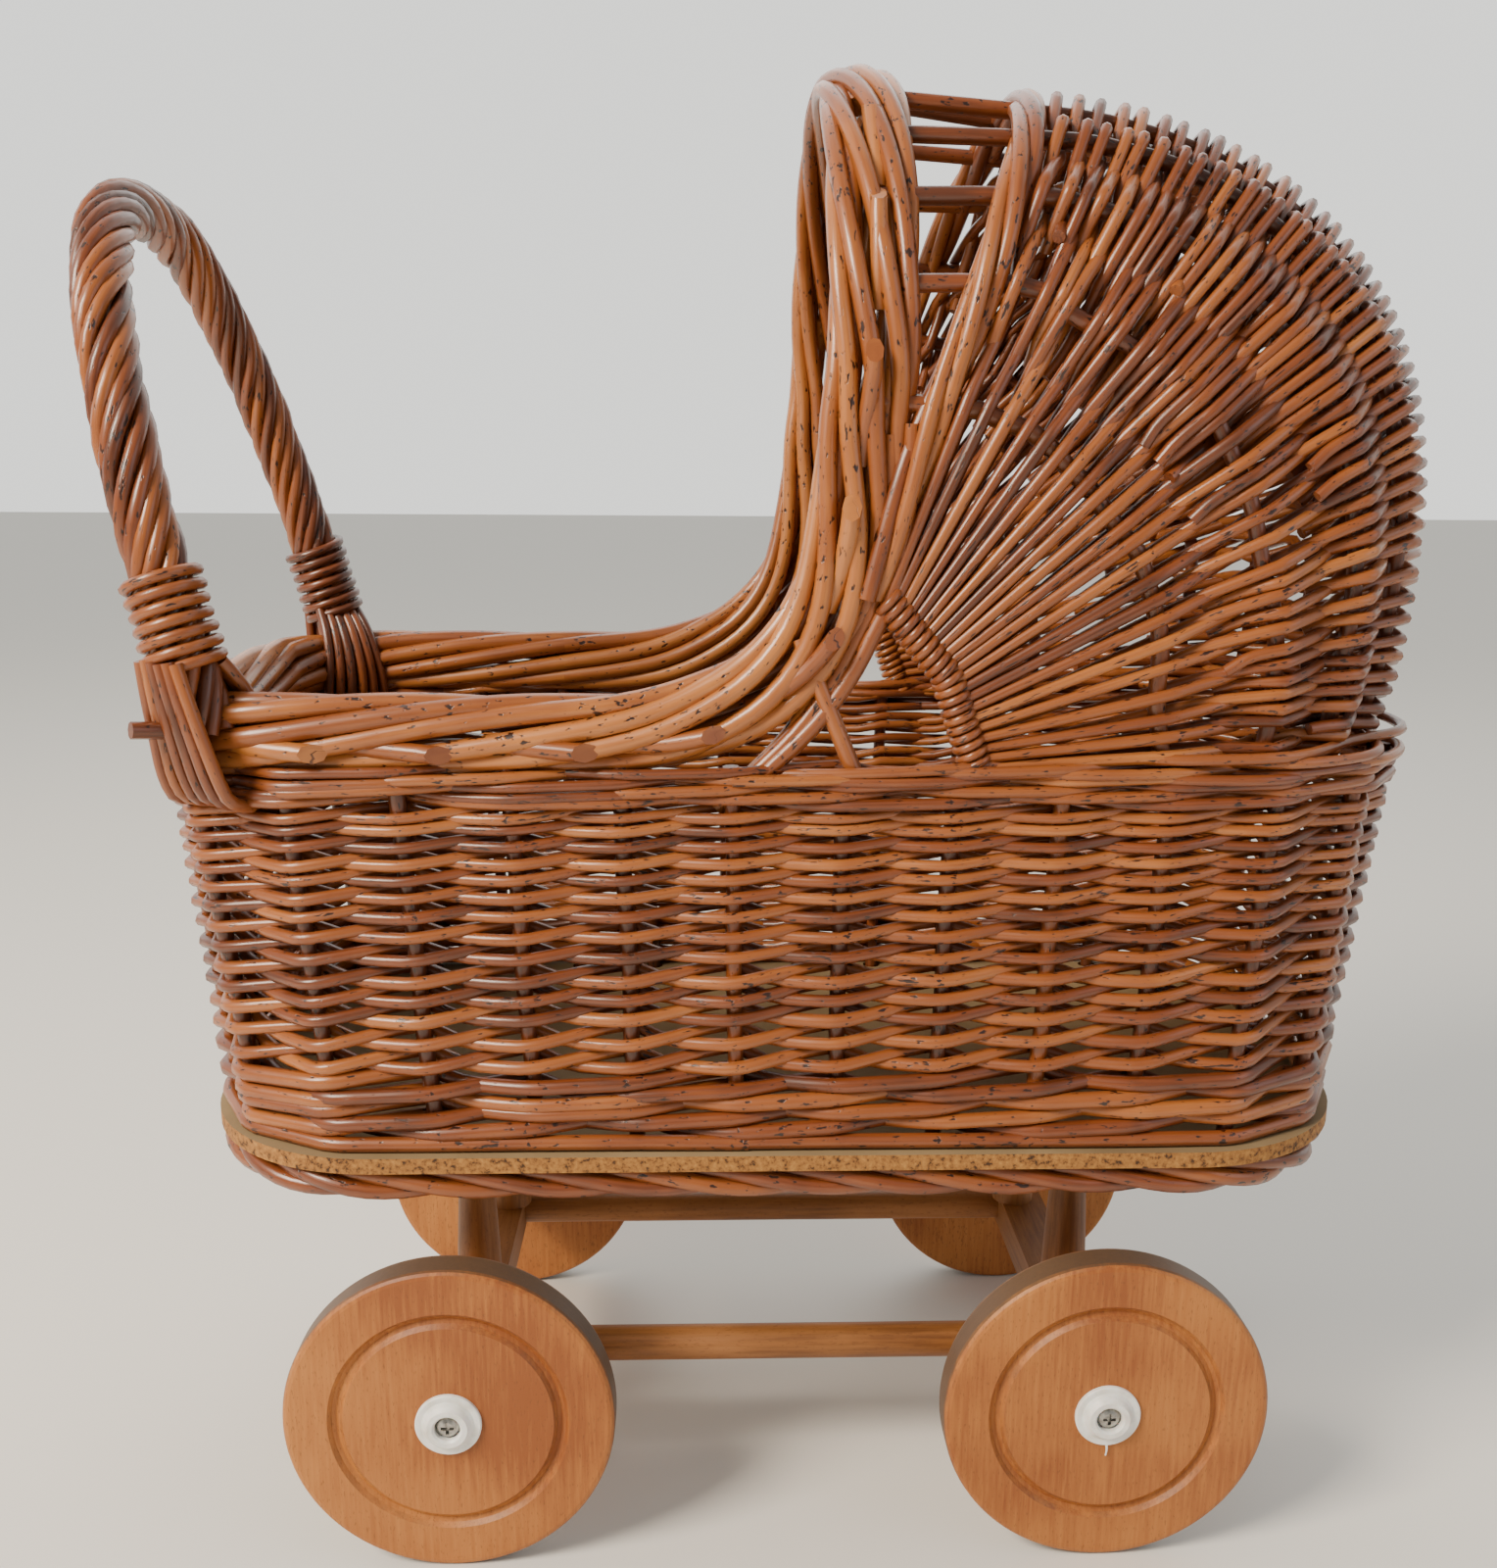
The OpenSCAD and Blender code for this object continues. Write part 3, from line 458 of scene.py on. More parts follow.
# foot border: a rope of stake ends under the board, sloping down to the right outside
footBorder = {
    "rods": 3, "radius": 3.25, "swing": 3.2, "turns": 12, "corner": 70, "steps": 200, "nudge": 0.002,
}
footLow, footHigh = span("foot_border")
half = (footHigh.z - footLow.z) / 2
plan = inset([footLow.x, footHigh.x, footHigh.y, footBorder["corner"], footBorder["corner"]], half)
ropeRods = []
count = footBorder["steps"]
for rod in range(footBorder["rods"]):
    points = []
    uneven = wander(0.35, (3, 11))
    for i in range(count):
        part = i / count
        angle = turn360 * (footBorder["turns"] * part + rod / footBorder["rods"])
        swing = footBorder["swing"] + uneven(part)
        x, y = roundPoint(plan, part)
        ax, ay = roundPoint(plan, part - footBorder["nudge"])
        bx, by = roundPoint(plan, part + footBorder["nudge"])
        along = Vector((bx - ax, by - ay)).normalized()
        out = swing * math.cos(angle)
        points.append((x + along.y * out, y - along.x * out, footLow.z + half - swing * math.sin(angle)))
    ropeRods.append((points, footBorder["radius"], True))
bendRods("foot border", ropeRods, willowRope, ["foot_border"])
print("basket woven")

# the rim border and the front border of the hood are one run of rods
border = {
    "rods": 8, "radius": 3.75, "archRadius": 3.3, "turns": 3, "cornerHandle": 46, "uneven": 0.9,
    "climb": 60, "coreIn": 9.5, "coreRadius": 3.2,      # the rods thin over the first 60 mm of the sweep
    "sweep": [(1, 0), (0.79, 1.5), (0.6, 6), (0.39, 15), (0.225, 29), (0.12, 47), (0.06, 70), (0.03, 100)],
}
borderZ = (borderLow.z + borderHigh.z) / 2
borderHalf = (borderHigh.z - borderLow.z) / 2
borderDeep = 10                 # half the border's thickness
sweepX = borderHigh.x
archHalf = 16                   # half the front border's width
archDeep = 9
archX = archHigh.x - archHalf
archY = topHigh.y - archDeep
archZ = archHigh.z - archDeep - archY
levelY = borderHigh.y - borderDeep
endX = borderLow.x + borderDeep
corner = border["cornerHandle"]

keys = []                       # place, outward direction, half width and half depth


def addKey(x, y, z, out, wide, deep):
    keys.append([x, y, z, *out, wide, deep])


for i in range(1, 4):           # far side, towards the handle
    addKey(sweepX + (endX + corner - sweepX) * i / 4, levelY, borderZ, (0, 1, 0), borderHalf, borderDeep)
for side, first in ((far, 90), (near, 180)):
    for i in range(7):
        a = math.radians(first + 15 * i)
        addKey(endX + corner + corner * math.cos(a), side * (levelY - corner) + corner * math.sin(a), borderZ,
               (math.cos(a), math.sin(a), 0), borderHalf, borderDeep)
for i in range(1, 4):           # near side, towards the hood
    addKey(endX + corner + (sweepX - endX - corner) * i / 4, -levelY, borderZ, (0, -1, 0), borderHalf,
           borderDeep)
sweep = []
for back, rise in border["sweep"]:
    f = 1 - (back - border["sweep"][-1][0]) / (1 - border["sweep"][-1][0])
    x = archX - back * (archX - sweepX)
    sweep.append((x, levelY + (archY - levelY) * f, borderZ + rise, borderHalf + (archHalf - borderHalf) * f,
                  borderDeep + (archDeep - borderDeep) * f))
for x, y, z, wide, deep in sweep:
    addKey(x, -y, z, (0, -1, 0), wide, deep)
for i in range(13):
    a = math.pi * (1 - i / 12)
    addKey(archX, archY * math.cos(a), archZ + archY * math.sin(a), (0, math.cos(a), math.sin(a)), archHalf,
           archDeep)
for x, y, z, wide, deep in reversed(sweep):
    addKey(x, y, z, (0, 1, 0), wide, deep)
track, total = smoothTrack(keys, 7, True)


def borderPoint(i, angle, rod, lift=0.0):
    place, across, out = frameAt(track, i % len(track), True)
    wide, deep = track[i % len(track)][6:8]
    return place + across * (wide - rod) * math.cos(angle) + out * ((deep - rod) * math.sin(angle) + lift)


borderRods = []
count = len(track)
for rod in range(border["rods"]):
    slide, lift = wander(border["uneven"] * 1.6, (3, 7)), wander(border["uneven"] * 0.7, (4, 9))
    points, radii = [], []
    for i in range(count):
        part = i / count
        rise = min(1, max(0, (track[i][2] - borderZ) / border["climb"]))
        radius = border["radius"] + (border["archRadius"] - border["radius"]) * rise
        angle = turn360 * (rod / border["rods"] - border["turns"] * part) + slide(part) / 12
        points.append(borderPoint(i, angle, radius + 0.5, lift(part)))
        radii.append(radius)
    borderRods.append((points, radii, True))
for rod in range(2):            # core rods, seen through the gaps
    points = [borderPoint(i, math.pi * rod, border["coreIn"]) for i in range(count)]
    borderRods.append((points, border["coreRadius"], True))

stubs = {"every": 46, "length": 36, "radius": 3.4, "stand": 4.6}
step = total / count
for i in range(int(total / stubs["every"])):
    middle = int(i * stubs["every"] / step)
    rise = min(1, max(0, (track[middle][2] - borderZ) / border["climb"]))
    angle = math.pi / 2 + (0.62 if rise < 0.5 else dice.uniform(-0.25, 0.3)) + dice.uniform(-0.06, 0.06)
    reach = int(stubs["length"] / step)
    points = []
    for n in range(reach + 1):
        t = n / reach
        crown = max(0, track[(middle + n) % count][5])       # the very top has no room to stand proud
        points.append(borderPoint(middle + n, angle - 0.12 * t, stubs["radius"] + 5 * (1 - t),
                                  stubs["stand"] * t * (1 - crown) - 1.2 * crown))
    facing = borderPoint(middle + reach, angle - 0.12, 3, 9) - borderPoint(middle + reach, angle - 0.12, 3)
    borderRods.append((points, stubs["radius"] * dice.uniform(0.9, 1.1), False, facing))
bendRods("rim and hood border", borderRods, willowBorder, ["rim_border", "hood_front_border"])

# the hood
hood = {
    "middleBack": 180, "middleRise": 76, "halfWidth": 106.5, "half": 5.5, "square": 2.3, "front": 84,
    "fan": [(6, 61), (27, 36), (40, 0)], "depth": 106, "ribs": 11, "ribFrom": 0.14, "ribSpan": 0.72,
    "ribRadius": 3.1,
}
hoodX = hoodHigh.x - hood["middleBack"]
hoodZ = topHigh.z + hood["middleRise"]
hoodA = hoodHigh.x - hood["half"] - hoodX
hoodB = archHigh.z - 9 - hood["half"] - hoodZ
lowTurn = -math.degrees(math.asin((hood["middleRise"] / (hoodB + hood["half"])) ** (hood["square"] / 2)))
fan = [(archX + x, topHigh.z + z) for x, z in hood["fan"]]


def bent(c, power):
    return math.copysign(abs(c) ** (2 / power), c)


def fanFoot(u):
    (ax, az), (bx, bz) = (fan[0], fan[1]) if u < 0.5 else (fan[1], fan[2])
    t = 2 * u if u < 0.5 else 2 * u - 1
    return ax + (bx - ax) * t, az + (bz - az) * t


def hoopPoint(u, v, out):       # hoop u (0 front, 1 lowest) at v (0 near foot, 1 far foot)
    fx, fz = fanFoot(u)
    turn = math.radians(hood["front"] + (lowTurn - hood["front"]) * u)
    ex = hoodX + (hoodA + out) * bent(math.cos(turn), hood["square"])
    ez = hoodZ + (hoodB + out) * bent(math.sin(turn), hood["square"])
    reach = math.hypot(ex - fx, ez - fz)
    dx, dz = (ex - fx) / reach, (ez - fz) / reach
    leg, bow = max(reach - hood["depth"], 0), hood["depth"] * math.pi / 2
    d = abs(2 * v - 1) * (leg + bow)
    turn = min(d / bow, 1) * math.pi / 2
    y = (1 if v >= 0.5 else -1) * (hood["halfWidth"] + out)
    y *= bent(math.sin(turn), hood["square"]) if turn < 1.57 else 1
    s = reach - hood["depth"] * (1 - bent(math.cos(turn), hood["square"])) - max(d - bow, 0)
    return Vector((fx + dx * s, y, fz + dz * s))


ribAt = [hood["ribFrom"] + hood["ribSpan"] * i / (hood["ribs"] - 1) for i in range(hood["ribs"])]
ribDepth = -2.2                 # ribs run a little inside the middle of the weave


def archPoint(v):               # where a rib starts in the front border
    c = hoopPoint(0, v, 0)
    if c.z > archZ:
        a = math.atan2(c.z - archZ, c.y)
        return Vector((archX, archY * math.cos(a), archZ + archY * math.sin(a)))
    return Vector((archX - 2, math.copysign(archY, c.y), c.z))


ribRods = []
for v in ribAt:
    sway = wander(0.004)
    row = [archPoint(v)] + [hoopPoint(0.02 + 0.95 * k / 16, v + sway(k / 16), ribDepth) for k in range(17)]
    rows = smoothTrack([list(p) for p in row], 9)[0]
    ribRods.append(([r[:3] for r in rows], hood["ribRadius"] * dice.uniform(0.93, 1.05), False))
bendRods("hood ribs", ribRods, willowStakes, ["hood_ribs"])

hoops = {
    "pairs": 44, "radius": 2.15, "footRadius": 1.7, "out": 5.2, "lift": 0.4, "spread": 0.16,
    "shown": 0.2, "cutOut": 2.6, "cutIn": -5.2, "past": 0.035,      # ends of the short rods
    "feet": [(0.0, 1.2), (0.9, -1.0)],      # where the two rods of a pair end in the fan edge: u, out
    "spare": 0.6, "thinning": 0.12,         # room past the last pair, the share of a rod that tapers
}


def shortEnd(v, strand):        # most short rods start out of sight, a few show their cut ends
    out = hoops["cutOut"] if dice.random() < hoops["shown"] else hoops["cutIn"]
    return v, 0.2 + 0.3 * strand, ribDepth + out


hoopRods = []
vStops = [0.0, 0.12, 0.32, 0.5, 0.68, 0.88]
for pair in range(hoops["pairs"]):
    full = pair % 2 == 0        # every other pair is a short one, laid in where the fan widens
    for strand in (0, 1):
        knots = []              # v, u as a share of a pair, out
        skip = 0 if full else dice.choice((1, 2))
        last = hood["ribs"] - 1 - (0 if full else dice.choice((1, 2)))
        if full:
            knots.append((0.0, *hoops["feet"][strand]))
        else:
            knots.append(shortEnd(ribAt[skip] - hoops["past"], strand))
        for i in range(skip, last + 1):
            over = (i + strand) % 2 == 0
            knots.append((ribAt[i], (0 if over else hoops["lift"]) + dice.uniform(-1, 1) * hoops["spread"],
                          ribDepth + (hoops["out"] if over else -hoops["out"])))
        if full:
            knots.append((1.0, *hoops["feet"][strand]))
        else:
            knots.append(shortEnd(ribAt[last] + hoops["past"], strand))
        points, radii = [], []
        for (v0, u0, o0), (v1, u1, o1) in zip(knots, knots[1:]):
            climb = upLift if o1 < o0 else [1 - d for d in downLift]
            for n, t in enumerate(vStops):
                v = v0 + (v1 - v0) * t
                u = (pair + 0.5 + (u0 + (u1 - u0) * climb[n])) / (hoops["pairs"] + hoops["spare"])
                points.append(hoopPoint(min(u, 1), v, o0 + (o1 - o0) * t))
                full01 = min(1, min(v, 1 - v) / hoops["thinning"])
                radii.append(hoops["footRadius"] + (hoops["radius"] - hoops["footRadius"]) * full01)
        v, u, out = knots[-1]
        points.append(hoopPoint((pair + 0.5 + u) / (hoops["pairs"] + hoops["spare"]), v, out))
        radii.append(radii[-1])
        scale = dice.uniform(0.92, 1.1)
        hoopRods.append((points, [r * scale for r in radii], False))
bendRods("hood weave", hoopRods, willow, ["hood_weave"])

innerHoop = {"rods": 4, "radius": 3.0, "swing": 3.6, "turns": 2.5, "ahead": 7, "steps": 90}
loopRods = []
for rod in range(innerHoop["rods"]):
    points = []
    uneven = wander(0.8, (2, 5))
    for i in range(innerHoop["steps"] + 1):
        v = i / innerHoop["steps"]
        place = hoopPoint(0, v, 0) - Vector((innerHoop["ahead"], 0, 0))
        out = Vector((0, place.y / hood["halfWidth"], max(0, (place.z - hoodZ) / hoodB))).normalized()
        angle = turn360 * (innerHoop["turns"] * v + rod / innerHoop["rods"])
        swing = innerHoop["swing"] + uneven(v)
        points.append(place + Vector((1, 0, 0)) * swing * math.cos(angle) + out * swing * math.sin(angle))
    loopRods.append((points, innerHoop["radius"] * dice.uniform(0.95, 1.05), False))
bendRods("inner hoop", loopRods, willow, ["hood_inner_hoop"])

fanEdge = {"bar": 3.3, "wrap": 1.55, "around": 4.7, "turns": 21, "stepsPerTurn": 12}
for side, word in ((near, "near"), (far, "far")):
    bar = [(*fanFoot(i / 12), 0) for i in range(13)]
    rows = smoothTrack([[x, side * hood["halfWidth"], z, 0, side, 0] for x, z, _ in bar], 3)[0]
    rods = [([r[:3] for r in rows], fanEdge["bar"], False)]
    points = []
    wraps = fanEdge["turns"] * fanEdge["stepsPerTurn"]
    for i in range(wraps + 1):
        j = i / wraps * (len(rows) - 1)
        place, across, out = frameAt(rows, min(int(j), len(rows) - 2))
        nextPlace = Vector(rows[min(int(j) + 1, len(rows) - 1)][:3])
        place = place.lerp(nextPlace, j - int(j))
        angle = turn360 * i / fanEdge["stepsPerTurn"]
        points.append(place + (across * math.cos(angle) + out * math.sin(angle)) * fanEdge["around"])
    rods.append((points, fanEdge["wrap"], False))
    bendRods(f"fan edge {word}", rods, willow, [f"fan_edge_{word}"])

window = {
    "radius": 3.0, "stake": [(-63, 0, 48), (-52, 0.6, 22), (-41, 0, -4)], "leavingRadius": 3.1,
    "leaving": [(13, 118), (12.5, 90), (9, 66), (2.5, 51), (-5.5, 35), (-17, 19), (-33, 3), (-39, -3)],
    "beside": [(0, 0, 0), (-6.5, 3.5, 1.5), (-12, 8.5, 4)],         # back, down and in from the first rod
}
windowRods = []
for side in (near, far):        # the slanting stake and the rods that run down from the arch
    w = side * hood["halfWidth"]
    slant = [(fan[2][0] + x, w + side * y, topHigh.z + z) for x, y, z in window["stake"]]
    windowRods.append((slant, window["radius"], False))
    for aside, down, inside in window["beside"]:
        leaving = [(archX + x + aside, w - side * inside, topHigh.z + z - down) for x, z in window["leaving"]]
        rows = smoothTrack(leaving, 6)[0]
        windowRods.append(([r[:3] for r in rows], window["leavingRadius"], False))
bendRods("window stakes", windowRods, willowBorder, ["window_stakes"])
print("hood woven")

# the handle
handle = {
    "rods": 9, "radius": 2.8, "swing": 7.6, "turns": 5, "out": 8, "angle": 60, "lean": 41, "square": 2.3,
    "coreRadius": 5.2, "steps": 40, "ahead": 3,
}
leanRise = 167                  # the height over which it leans by that much
footTurn = math.radians(handle["angle"])
footR = corner + handle["out"]
footX = endX + corner - footR * math.cos(footTurn)
footY = levelY - corner + footR * math.sin(footTurn)
handleRise = (handleLow.z, borderHigh.z + leanRise)
legLow = borderZ


def handlePoint(a):             # a from pi (near foot) to 0 (far foot)
    rise = (handleRise[1] - legLow) * bent(math.sin(a), handle["square"])
    return Vector((footX - handle["lean"] * rise / leanRise + handle["ahead"],
                   footY * bent(math.cos(a), handle["square"]), legLow + rise))


keys = []
for i in range(handle["steps"] + 1):
    a = math.pi * (1 - i / handle["steps"])
    keys.append([*handlePoint(a), 0, math.cos(a), math.sin(a)])
rows = smoothTrack(keys, 5)[0]
handleRods = []
for rod in range(handle["rods"]):
    points = []
    uneven, slip = wander(0.45, (3, 7)), wander(0.16, (2, 5))
    for i in range(len(rows)):
        place, across, out = frameAt(rows, i)
        part = i / (len(rows) - 1)
        angle = turn360 * (rod / handle["rods"] + handle["turns"] * part) + slip(part)
        swing = handle["swing"] + uneven(part)
        points.append(place + (across * math.cos(angle) + out * math.sin(angle)) * swing)
    handleRods.append((points, handle["radius"] * dice.uniform(0.92, 1.06), False))
handleRods.append(([r[:3] for r in rows], handle["coreRadius"], False))
bendRods("handle rope", handleRods, willowRope, ["handle"])


def legAt(side, z):
    rise = z - legLow
    s = (rise / (handleRise[1] - legLow)) ** (handle["square"] / 2)
    return Vector((footX - handle["lean"] * rise / leanRise + handle["ahead"],
                   side * footY * math.sqrt(1 - s * s) ** (2 / handle["square"]), z))


binding = {"turns": 7, "radius": 2.05, "around": 11.9, "stepsPerTurn": 16, "end": 2, "uneven": 0.25}
lashing = {
    "loops": 6, "radius": 2.3, "gapLow": 5.3, "gapTop": 3.3, "stubRadius": 3.0, "top": 40,
    "shape": [(12.6, 40), (12.0, 27), (9.4, 12), (6.2, 0), (1.5, -8), (-8, -10.2), (-16.5, -7),
              (-20.4, 3), (-20.4, 16), (-16, 29), (-8.5, 39)],      # out from the leg, up from the border
}
for side, word in ((near, "near"), (far, "far")):
    low, high = span(f"handle_binding_{word}")
    points = []
    count = binding["turns"] * binding["stepsPerTurn"]
    for i in range(count + 1):
        place = legAt(side, low.z + binding["end"] + (high.z - low.z - 2 * binding["end"]) * i / count)
        above = legAt(side, place.z + 4)
        along = (above - place).normalized()
        across = along.cross(Vector((1, 0, 0))).normalized()
        out = along.cross(across)
        angle = turn360 * i / binding["stepsPerTurn"]
        aside = across * math.cos(angle) + out * math.sin(angle)
        points.append(place + aside * (binding["around"] + binding["uneven"] * math.sin(i * 0.7)))
    bendRods(f"handle binding {word}", [(points, binding["radius"], False)], willowRope,
             [f"handle_binding_{word}"])
    outward = Vector((-math.cos(footTurn), side * math.sin(footTurn), 0))
    along = outward.cross(Vector((0, 0, 1)))
    foot = Vector((footX, side * footY, borderLow.z))
    loops = []
    for loop in range(lashing["loops"]):
        shift = loop - (lashing["loops"] - 1) / 2
        keys = []
        for out, z in lashing["shape"]:
            top = max(0, min(1, z / lashing["top"]))
            height = borderLow.z + lashing["top"]
            lean = legAt(side, height) - Vector((footX, side * footY, height))
            gap = lashing["gapLow"] + (lashing["gapTop"] - lashing["gapLow"]) * top
            keys.append(list(foot + outward * out * (1 - 0.04 * abs(shift)) + lean * top * top
                             + along * shift * gap + Vector((0, 0, z + dice.uniform(-0.6, 0.6)))))
        loopRows = smoothTrack(keys, 4)[0]
        loops.append(([r[:3] for r in loopRows], lashing["radius"] * dice.uniform(0.92, 1.05), False))
    start = foot + outward * -6 + along * side * 4 + Vector((0, 0, 16))
    stub = [start + outward * out - along * side * aside + Vector((0, 0, rise))
            for out, aside, rise in ((0, 0, 0), (12, 8, 0), (26, 14, 1.5))]
    loops.append((stub, lashing["stubRadius"], False))
    bendRods(f"handle lashing {word}", loops, willowRope, [f"handle_lashing_{word}"])
print("handle bound")

# board, beech and fittings keep their own shapes and get their finishes


def beechMaterial(name, grain, darker=False):
    # planed and oiled beech: close straight grain with short dark ray flecks; on the wheel, dirt worn into
    # the tread and arrises and painted shade in the face groove
    material, shader = newMaterial(name)
    place = addNode(material, "ShaderNodeTexCoord")
    spot = {"Vector": place.outputs["Object"]}
    scale = [1 / (1.6 * mm)] * 3
    scale[grain] = 1 / (26 * mm)
    grainPlace = addNode(material, "ShaderNodeMapping", {"Scale": scale}, spot)
    lines = addNode(material, "ShaderNodeTexNoise", {"Scale": 1, "Detail": 4, "Roughness": 0.6},
                    {"Vector": grainPlace.outputs["Vector"]})
    scale = [1 / (0.7 * mm)] * 3
    scale[grain] = 1 / (2.6 * mm)
    fleckPlace = addNode(material, "ShaderNodeMapping", {"Scale": scale}, spot)
    flecks = addNode(material, "ShaderNodeTexNoise", {"Scale": 1, "Detail": 1},
                     {"Vector": fleckPlace.outputs["Vector"]})
    cloud = addNode(material, "ShaderNodeTexNoise", {"Scale": 14, "Detail": 2}, spot)
    mixed = addNode(material, "ShaderNodeMath", {1: 0.6},
                    {0: lines.outputs["Fac"], 2: cloud.outputs["Fac"]}, operation="MULTIPLY_ADD")
    tans = ("#a36c3b", "#8d5a2b", "#6e411b") if darker else ("#bb7b3c", "#a9682e", "#8d4d1e")
    body = addNode(material, "ShaderNodeValToRGB", links={"Fac": mixed.outputs[0]},
                   stops=list(zip((0.55, 0.8, 1.0), tans)))
    fleckMask = addNode(material, "ShaderNodeMapRange", {"From Min": 0.62, "From Max": 0.7, "To Max": 0.5},
                        {"Value": flecks.outputs["Fac"]})
    flecked = addNode(material, "ShaderNodeMix", data_type="RGBA")
    flecked.inputs[7].default_value = linearColour("#6b3f1c")
    material.node_tree.links.new(fleckMask.outputs[0], flecked.inputs[0])
    material.node_tree.links.new(body.outputs["Color"], flecked.inputs[6])
    colour = flecked.outputs[2]
    if name == "turned beech wheel":            # grey darkening where the surface does not face along the axle: dirt on the tread and its edges, painted shade on the walls of the face groove
        split = addNode(material, "ShaderNodeSeparateXYZ", links={"Vector": place.outputs["Normal"]})
        face = addNode(material, "ShaderNodeMath", links={0: split.outputs["Y"]}, operation="ABSOLUTE")
        dirtAndShadeNoise = addNode(material, "ShaderNodeTexNoise", {"Scale": 140, "Detail": 5, "Roughness": 0.65}, spot)
        dirtAndShadeSum = addNode(material, "ShaderNodeMath", {1: 0.8},
                           {0: dirtAndShadeNoise.outputs["Fac"], 2: face.outputs[0]}, operation="MULTIPLY_ADD")
        # the mask darkens the tread and its edges as dirt, and the sloping groove walls as painted shade
        dirtAndShadeMask = addNode(material, "ShaderNodeMapRange",
                            {"From Min": 1.12, "From Max": 0.5, "To Max": 0.85},
                            {"Value": dirtAndShadeSum.outputs[0]})
        dirtAndShadeMix = addNode(material, "ShaderNodeMix", data_type="RGBA")
        dirtAndShadeMix.inputs[7].default_value = linearColour("#4a4238")
        material.node_tree.links.new(dirtAndShadeMask.outputs[0], dirtAndShadeMix.inputs[0])
        material.node_tree.links.new(colour, dirtAndShadeMix.inputs[6])
        colour = dirtAndShadeMix.outputs[2]
    material.node_tree.links.new(colour, shader.inputs["Base Color"])
    bump = addNode(material, "ShaderNodeBump", {"Strength": 0.35, "Distance": 0.2 * mm},
                   {"Height": lines.outputs["Fac"]})
    material.node_tree.links.new(bump.outputs["Normal"], shader.inputs["Normal"])
    shader.inputs["Roughness"].default_value = 0.52
    return material


def boardMaterial():
    # raw fibreboard: smooth grey-brown faces, an open speckled sawn edge
    material, shader = newMaterial("raw fibreboard")
    place = addNode(material, "ShaderNodeTexCoord")
    spot = {"Vector": place.outputs["Object"]}
    split = addNode(material, "ShaderNodeSeparateXYZ", links={"Vector": place.outputs["Normal"]})
    face = addNode(material, "ShaderNodeMath", links={0: split.outputs["Z"]}, operation="ABSOLUTE")
    fine = addNode(material, "ShaderNodeTexNoise", {"Scale": 420, "Detail": 4, "Roughness": 0.7}, spot)
    cloud = addNode(material, "ShaderNodeTexNoise", {"Scale": 22, "Detail": 3}, spot)
    edge = addNode(material, "ShaderNodeValToRGB", links={"Fac": fine.outputs["Fac"]},
                   stops=[(0.36, "#3a230d"), (0.46, "#8c5c29"), (0.7, "#b17f3f")])
    top = addNode(material, "ShaderNodeValToRGB", links={"Fac": cloud.outputs["Fac"]},
                  stops=[(0.3, "#7d6849"), (0.7, "#96805c")])
    mixed = addNode(material, "ShaderNodeMix", data_type="RGBA")
    material.node_tree.links.new(face.outputs[0], mixed.inputs[0])
    material.node_tree.links.new(edge.outputs["Color"], mixed.inputs[6])
    material.node_tree.links.new(top.outputs["Color"], mixed.inputs[7])
    material.node_tree.links.new(mixed.outputs[2], shader.inputs["Base Color"])
    bump = addNode(material, "ShaderNodeBump", {"Strength": 0.6, "Distance": 0.3 * mm},
                   {"Height": fine.outputs["Fac"]})
    material.node_tree.links.new(bump.outputs["Normal"], shader.inputs["Normal"])
    shader.inputs["Roughness"].default_value = 0.78
    return material


def nylonMaterial():
    # moulded nylon bush: soft white, a little light passing in, faint dirt
    material, shader = newMaterial("moulded white nylon")
    place = addNode(material, "ShaderNodeTexCoord")
    spot = {"Vector": place.outputs["Object"]}
    dirt = addNode(material, "ShaderNodeTexNoise", {"Scale": 160, "Detail": 4}, spot)
    colour = addNode(material, "ShaderNodeValToRGB", links={"Fac": dirt.outputs["Fac"]},
                     stops=[(0.3, "#dcd9d0"), (0.55, "#f3f3ef")])
    material.node_tree.links.new(colour.outputs["Color"], shader.inputs["Base Color"])
    shader.inputs["Roughness"].default_value = 0.38
    shader.inputs["Subsurface Weight"].default_value = 0.1
    shader.inputs["Subsurface Scale"].default_value = 0.002
    return material


def steelMaterial():
    # zinc-plated steel screws and washers: dull metal with fine scuffs
    material, shader = newMaterial("zinc plated steel")
    place = addNode(material, "ShaderNodeTexCoord")
    spot = {"Vector": place.outputs["Object"]}
    scuff = addNode(material, "ShaderNodeTexNoise", {"Scale": 700, "Detail": 4}, spot)
    colour = addNode(material, "ShaderNodeValToRGB", links={"Fac": scuff.outputs["Fac"]},
                     stops=[(0.3, "#8c8a86"), (0.7, "#c2c0bb")])
    material.node_tree.links.new(colour.outputs["Color"], shader.inputs["Base Color"])
    gloss = addNode(material, "ShaderNodeMapRange", {"To Min": 0.24, "To Max": 0.5},
                    {"Value": scuff.outputs["Fac"]})
    material.node_tree.links.new(gloss.outputs[0], shader.inputs["Roughness"])
    shader.inputs["Metallic"].default_value = 1
    return material


beechAlong = beechMaterial("turned beech rail", 0, True)
beechAcross = beechMaterial("planed beech axle beam", 1, True)
beechUp = beechMaterial("turned beech post", 2, True)
beechWheel = beechMaterial("turned beech wheel", 2)
fibreboard, nylon, steel = boardMaterial(), nylonMaterial(), steelMaterial()
finishes = {
    "base_board": fibreboard, "board_screws": steel,
    "beam_": beechAcross, "rail_": beechAlong, "post_": beechUp, "wheel_": beechWheel,
    "bush_": nylon, "axle_screw_": steel, "washer_": steel,
}
for name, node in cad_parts.items():
    for start, material in finishes.items():
        if name.startswith(start):
            node.data.materials.clear()
            node.data.materials.append(material)
print("finishes on")

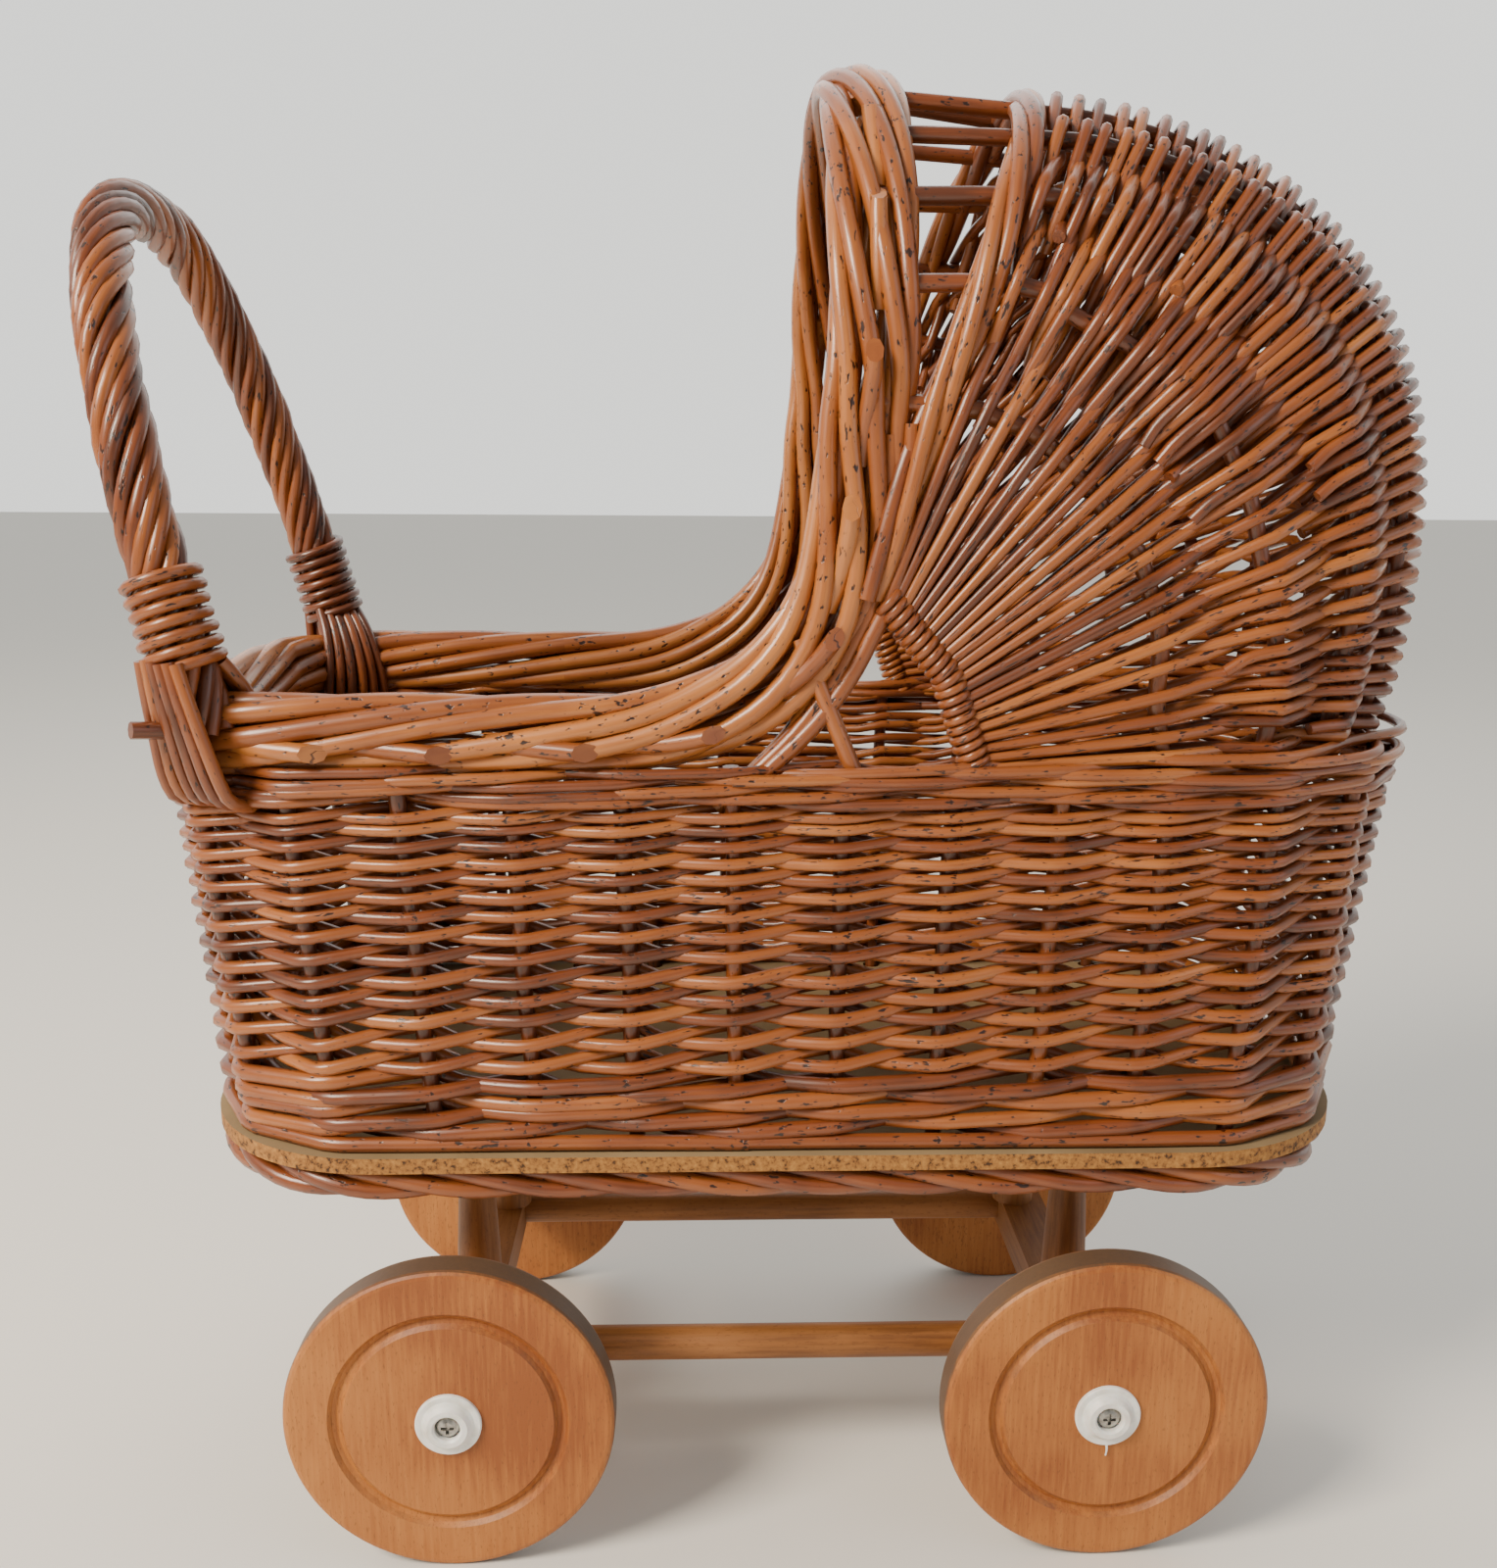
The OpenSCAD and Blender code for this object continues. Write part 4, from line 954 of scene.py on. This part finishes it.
# the moulding sprue left hanging from one bush
sprue = {"length": 4.5, "radius": 0.55, "thin": 0.3, "bow": 0.4, "into": 1, "behind": 3.4, "steps": 5}
low, high = span("bush_hood_near")
bpy.ops.curve.primitive_bezier_curve_add(location=(0, 0, 0))
piece = bpy.context.object
piece.name = "bush_sprue"
piece.data.splines.clear()
piece.data.dimensions = "3D"
piece.data.bevel_depth = 1.0
piece.data.bevel_resolution = 2
piece.data.use_fill_caps = True
spline = piece.data.splines.new("POLY")
spline.points.add(sprue["steps"])
for i, point in enumerate(spline.points):
    t = i / sprue["steps"]
    point.co = ((low.x + high.x) / 2 * mm + sprue["bow"] * mm * math.sin(3 * t),
                (low.y + sprue["behind"]) * mm,
                (low.z + sprue["into"] - (sprue["length"] + sprue["into"]) * t) * mm, 1)
    point.radius = (sprue["radius"] + (sprue["thin"] - sprue["radius"]) * t) * mm
bpy.ops.object.convert(target="MESH")
bpy.context.object.data.materials.append(nylon)
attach(piece, "wheel_hood_near")
piece.select_set(False)
print("sprue hung")

# floor, lights and camera
bpy.ops.mesh.primitive_plane_add(size=30, location=(0, 0, 0))
floor = bpy.context.object
floor.name = "floor"
floorMaterial, floorShader = newMaterial("pale studio floor")
floorShader.inputs["Base Color"].default_value = linearColour("#e9e5dd")
floorShader.inputs["Roughness"].default_value = 0.7
floor.data.materials.append(floorMaterial)

world = bpy.data.worlds.new("pale room")
bpy.context.scene.world = world
world.use_nodes = True
background = world.node_tree.nodes["Background"]
background.inputs["Color"].default_value = linearColour("#eeeeea")
way = addNode(world, "ShaderNodeTexCoord")              # a bright wall behind, a dimmer room in front
split = addNode(world, "ShaderNodeSeparateXYZ", links={"Vector": way.outputs["Generated"]})
bright = addNode(world, "ShaderNodeMapRange",
                 {"From Min": -0.2, "From Max": 0.75, "To Min": 0.4, "To Max": 1.6},
                 {"Value": split.outputs["Y"]})
world.node_tree.links.new(bright.outputs[0], background.inputs["Strength"])

lamps = [                       # place, size, watts, colour
    ((-1.4, -1.1, 1.6), 0.75, 78, "#fff1de"), ((1.6, -0.9, 1.0), 1.2, 6, "#eef3ff"),
    ((0.2, 1.6, 1.8), 1.6, 8, "#ffffff"),
]
for place, size, power, colour in lamps:
    bpy.ops.object.light_add(type="AREA", location=place)
    lamp = bpy.context.object
    lamp.data.size = size
    lamp.data.energy = power
    lamp.data.color = linearColour(colour)[:3]
    lamp.rotation_euler = (Vector((0, 0, 0.3)) - Vector(place)).to_track_quat("-Z", "Y").to_euler()

view = {
    "place": (-27.0, -612, 410.5), "yaw": 1.87, "down": 13.45, "roll": 0.37,
    "focal": 1529, "drop": 50, "long": 1600, "sensor": 36,
}
bpy.ops.object.camera_add(location=Vector(view["place"]) * mm)
camera = bpy.context.object
yaw, down, roll = (math.radians(view[k]) for k in ("yaw", "down", "roll"))
ahead = Vector((math.sin(yaw) * math.cos(down), math.cos(yaw) * math.cos(down), -math.sin(down)))
right = Vector((math.cos(yaw), -math.sin(yaw), 0))
up = right.cross(ahead)
right, up = right * math.cos(roll) + up * math.sin(roll), up * math.cos(roll) - right * math.sin(roll)
camera.rotation_euler = Matrix((right, up, -ahead)).transposed().to_euler()
camera.data.sensor_width = view["sensor"]
camera.data.lens = view["focal"] / view["long"] * view["sensor"]
camera.data.shift_y = view["drop"] / view["long"]
bpy.context.scene.camera = camera
print("stage set")
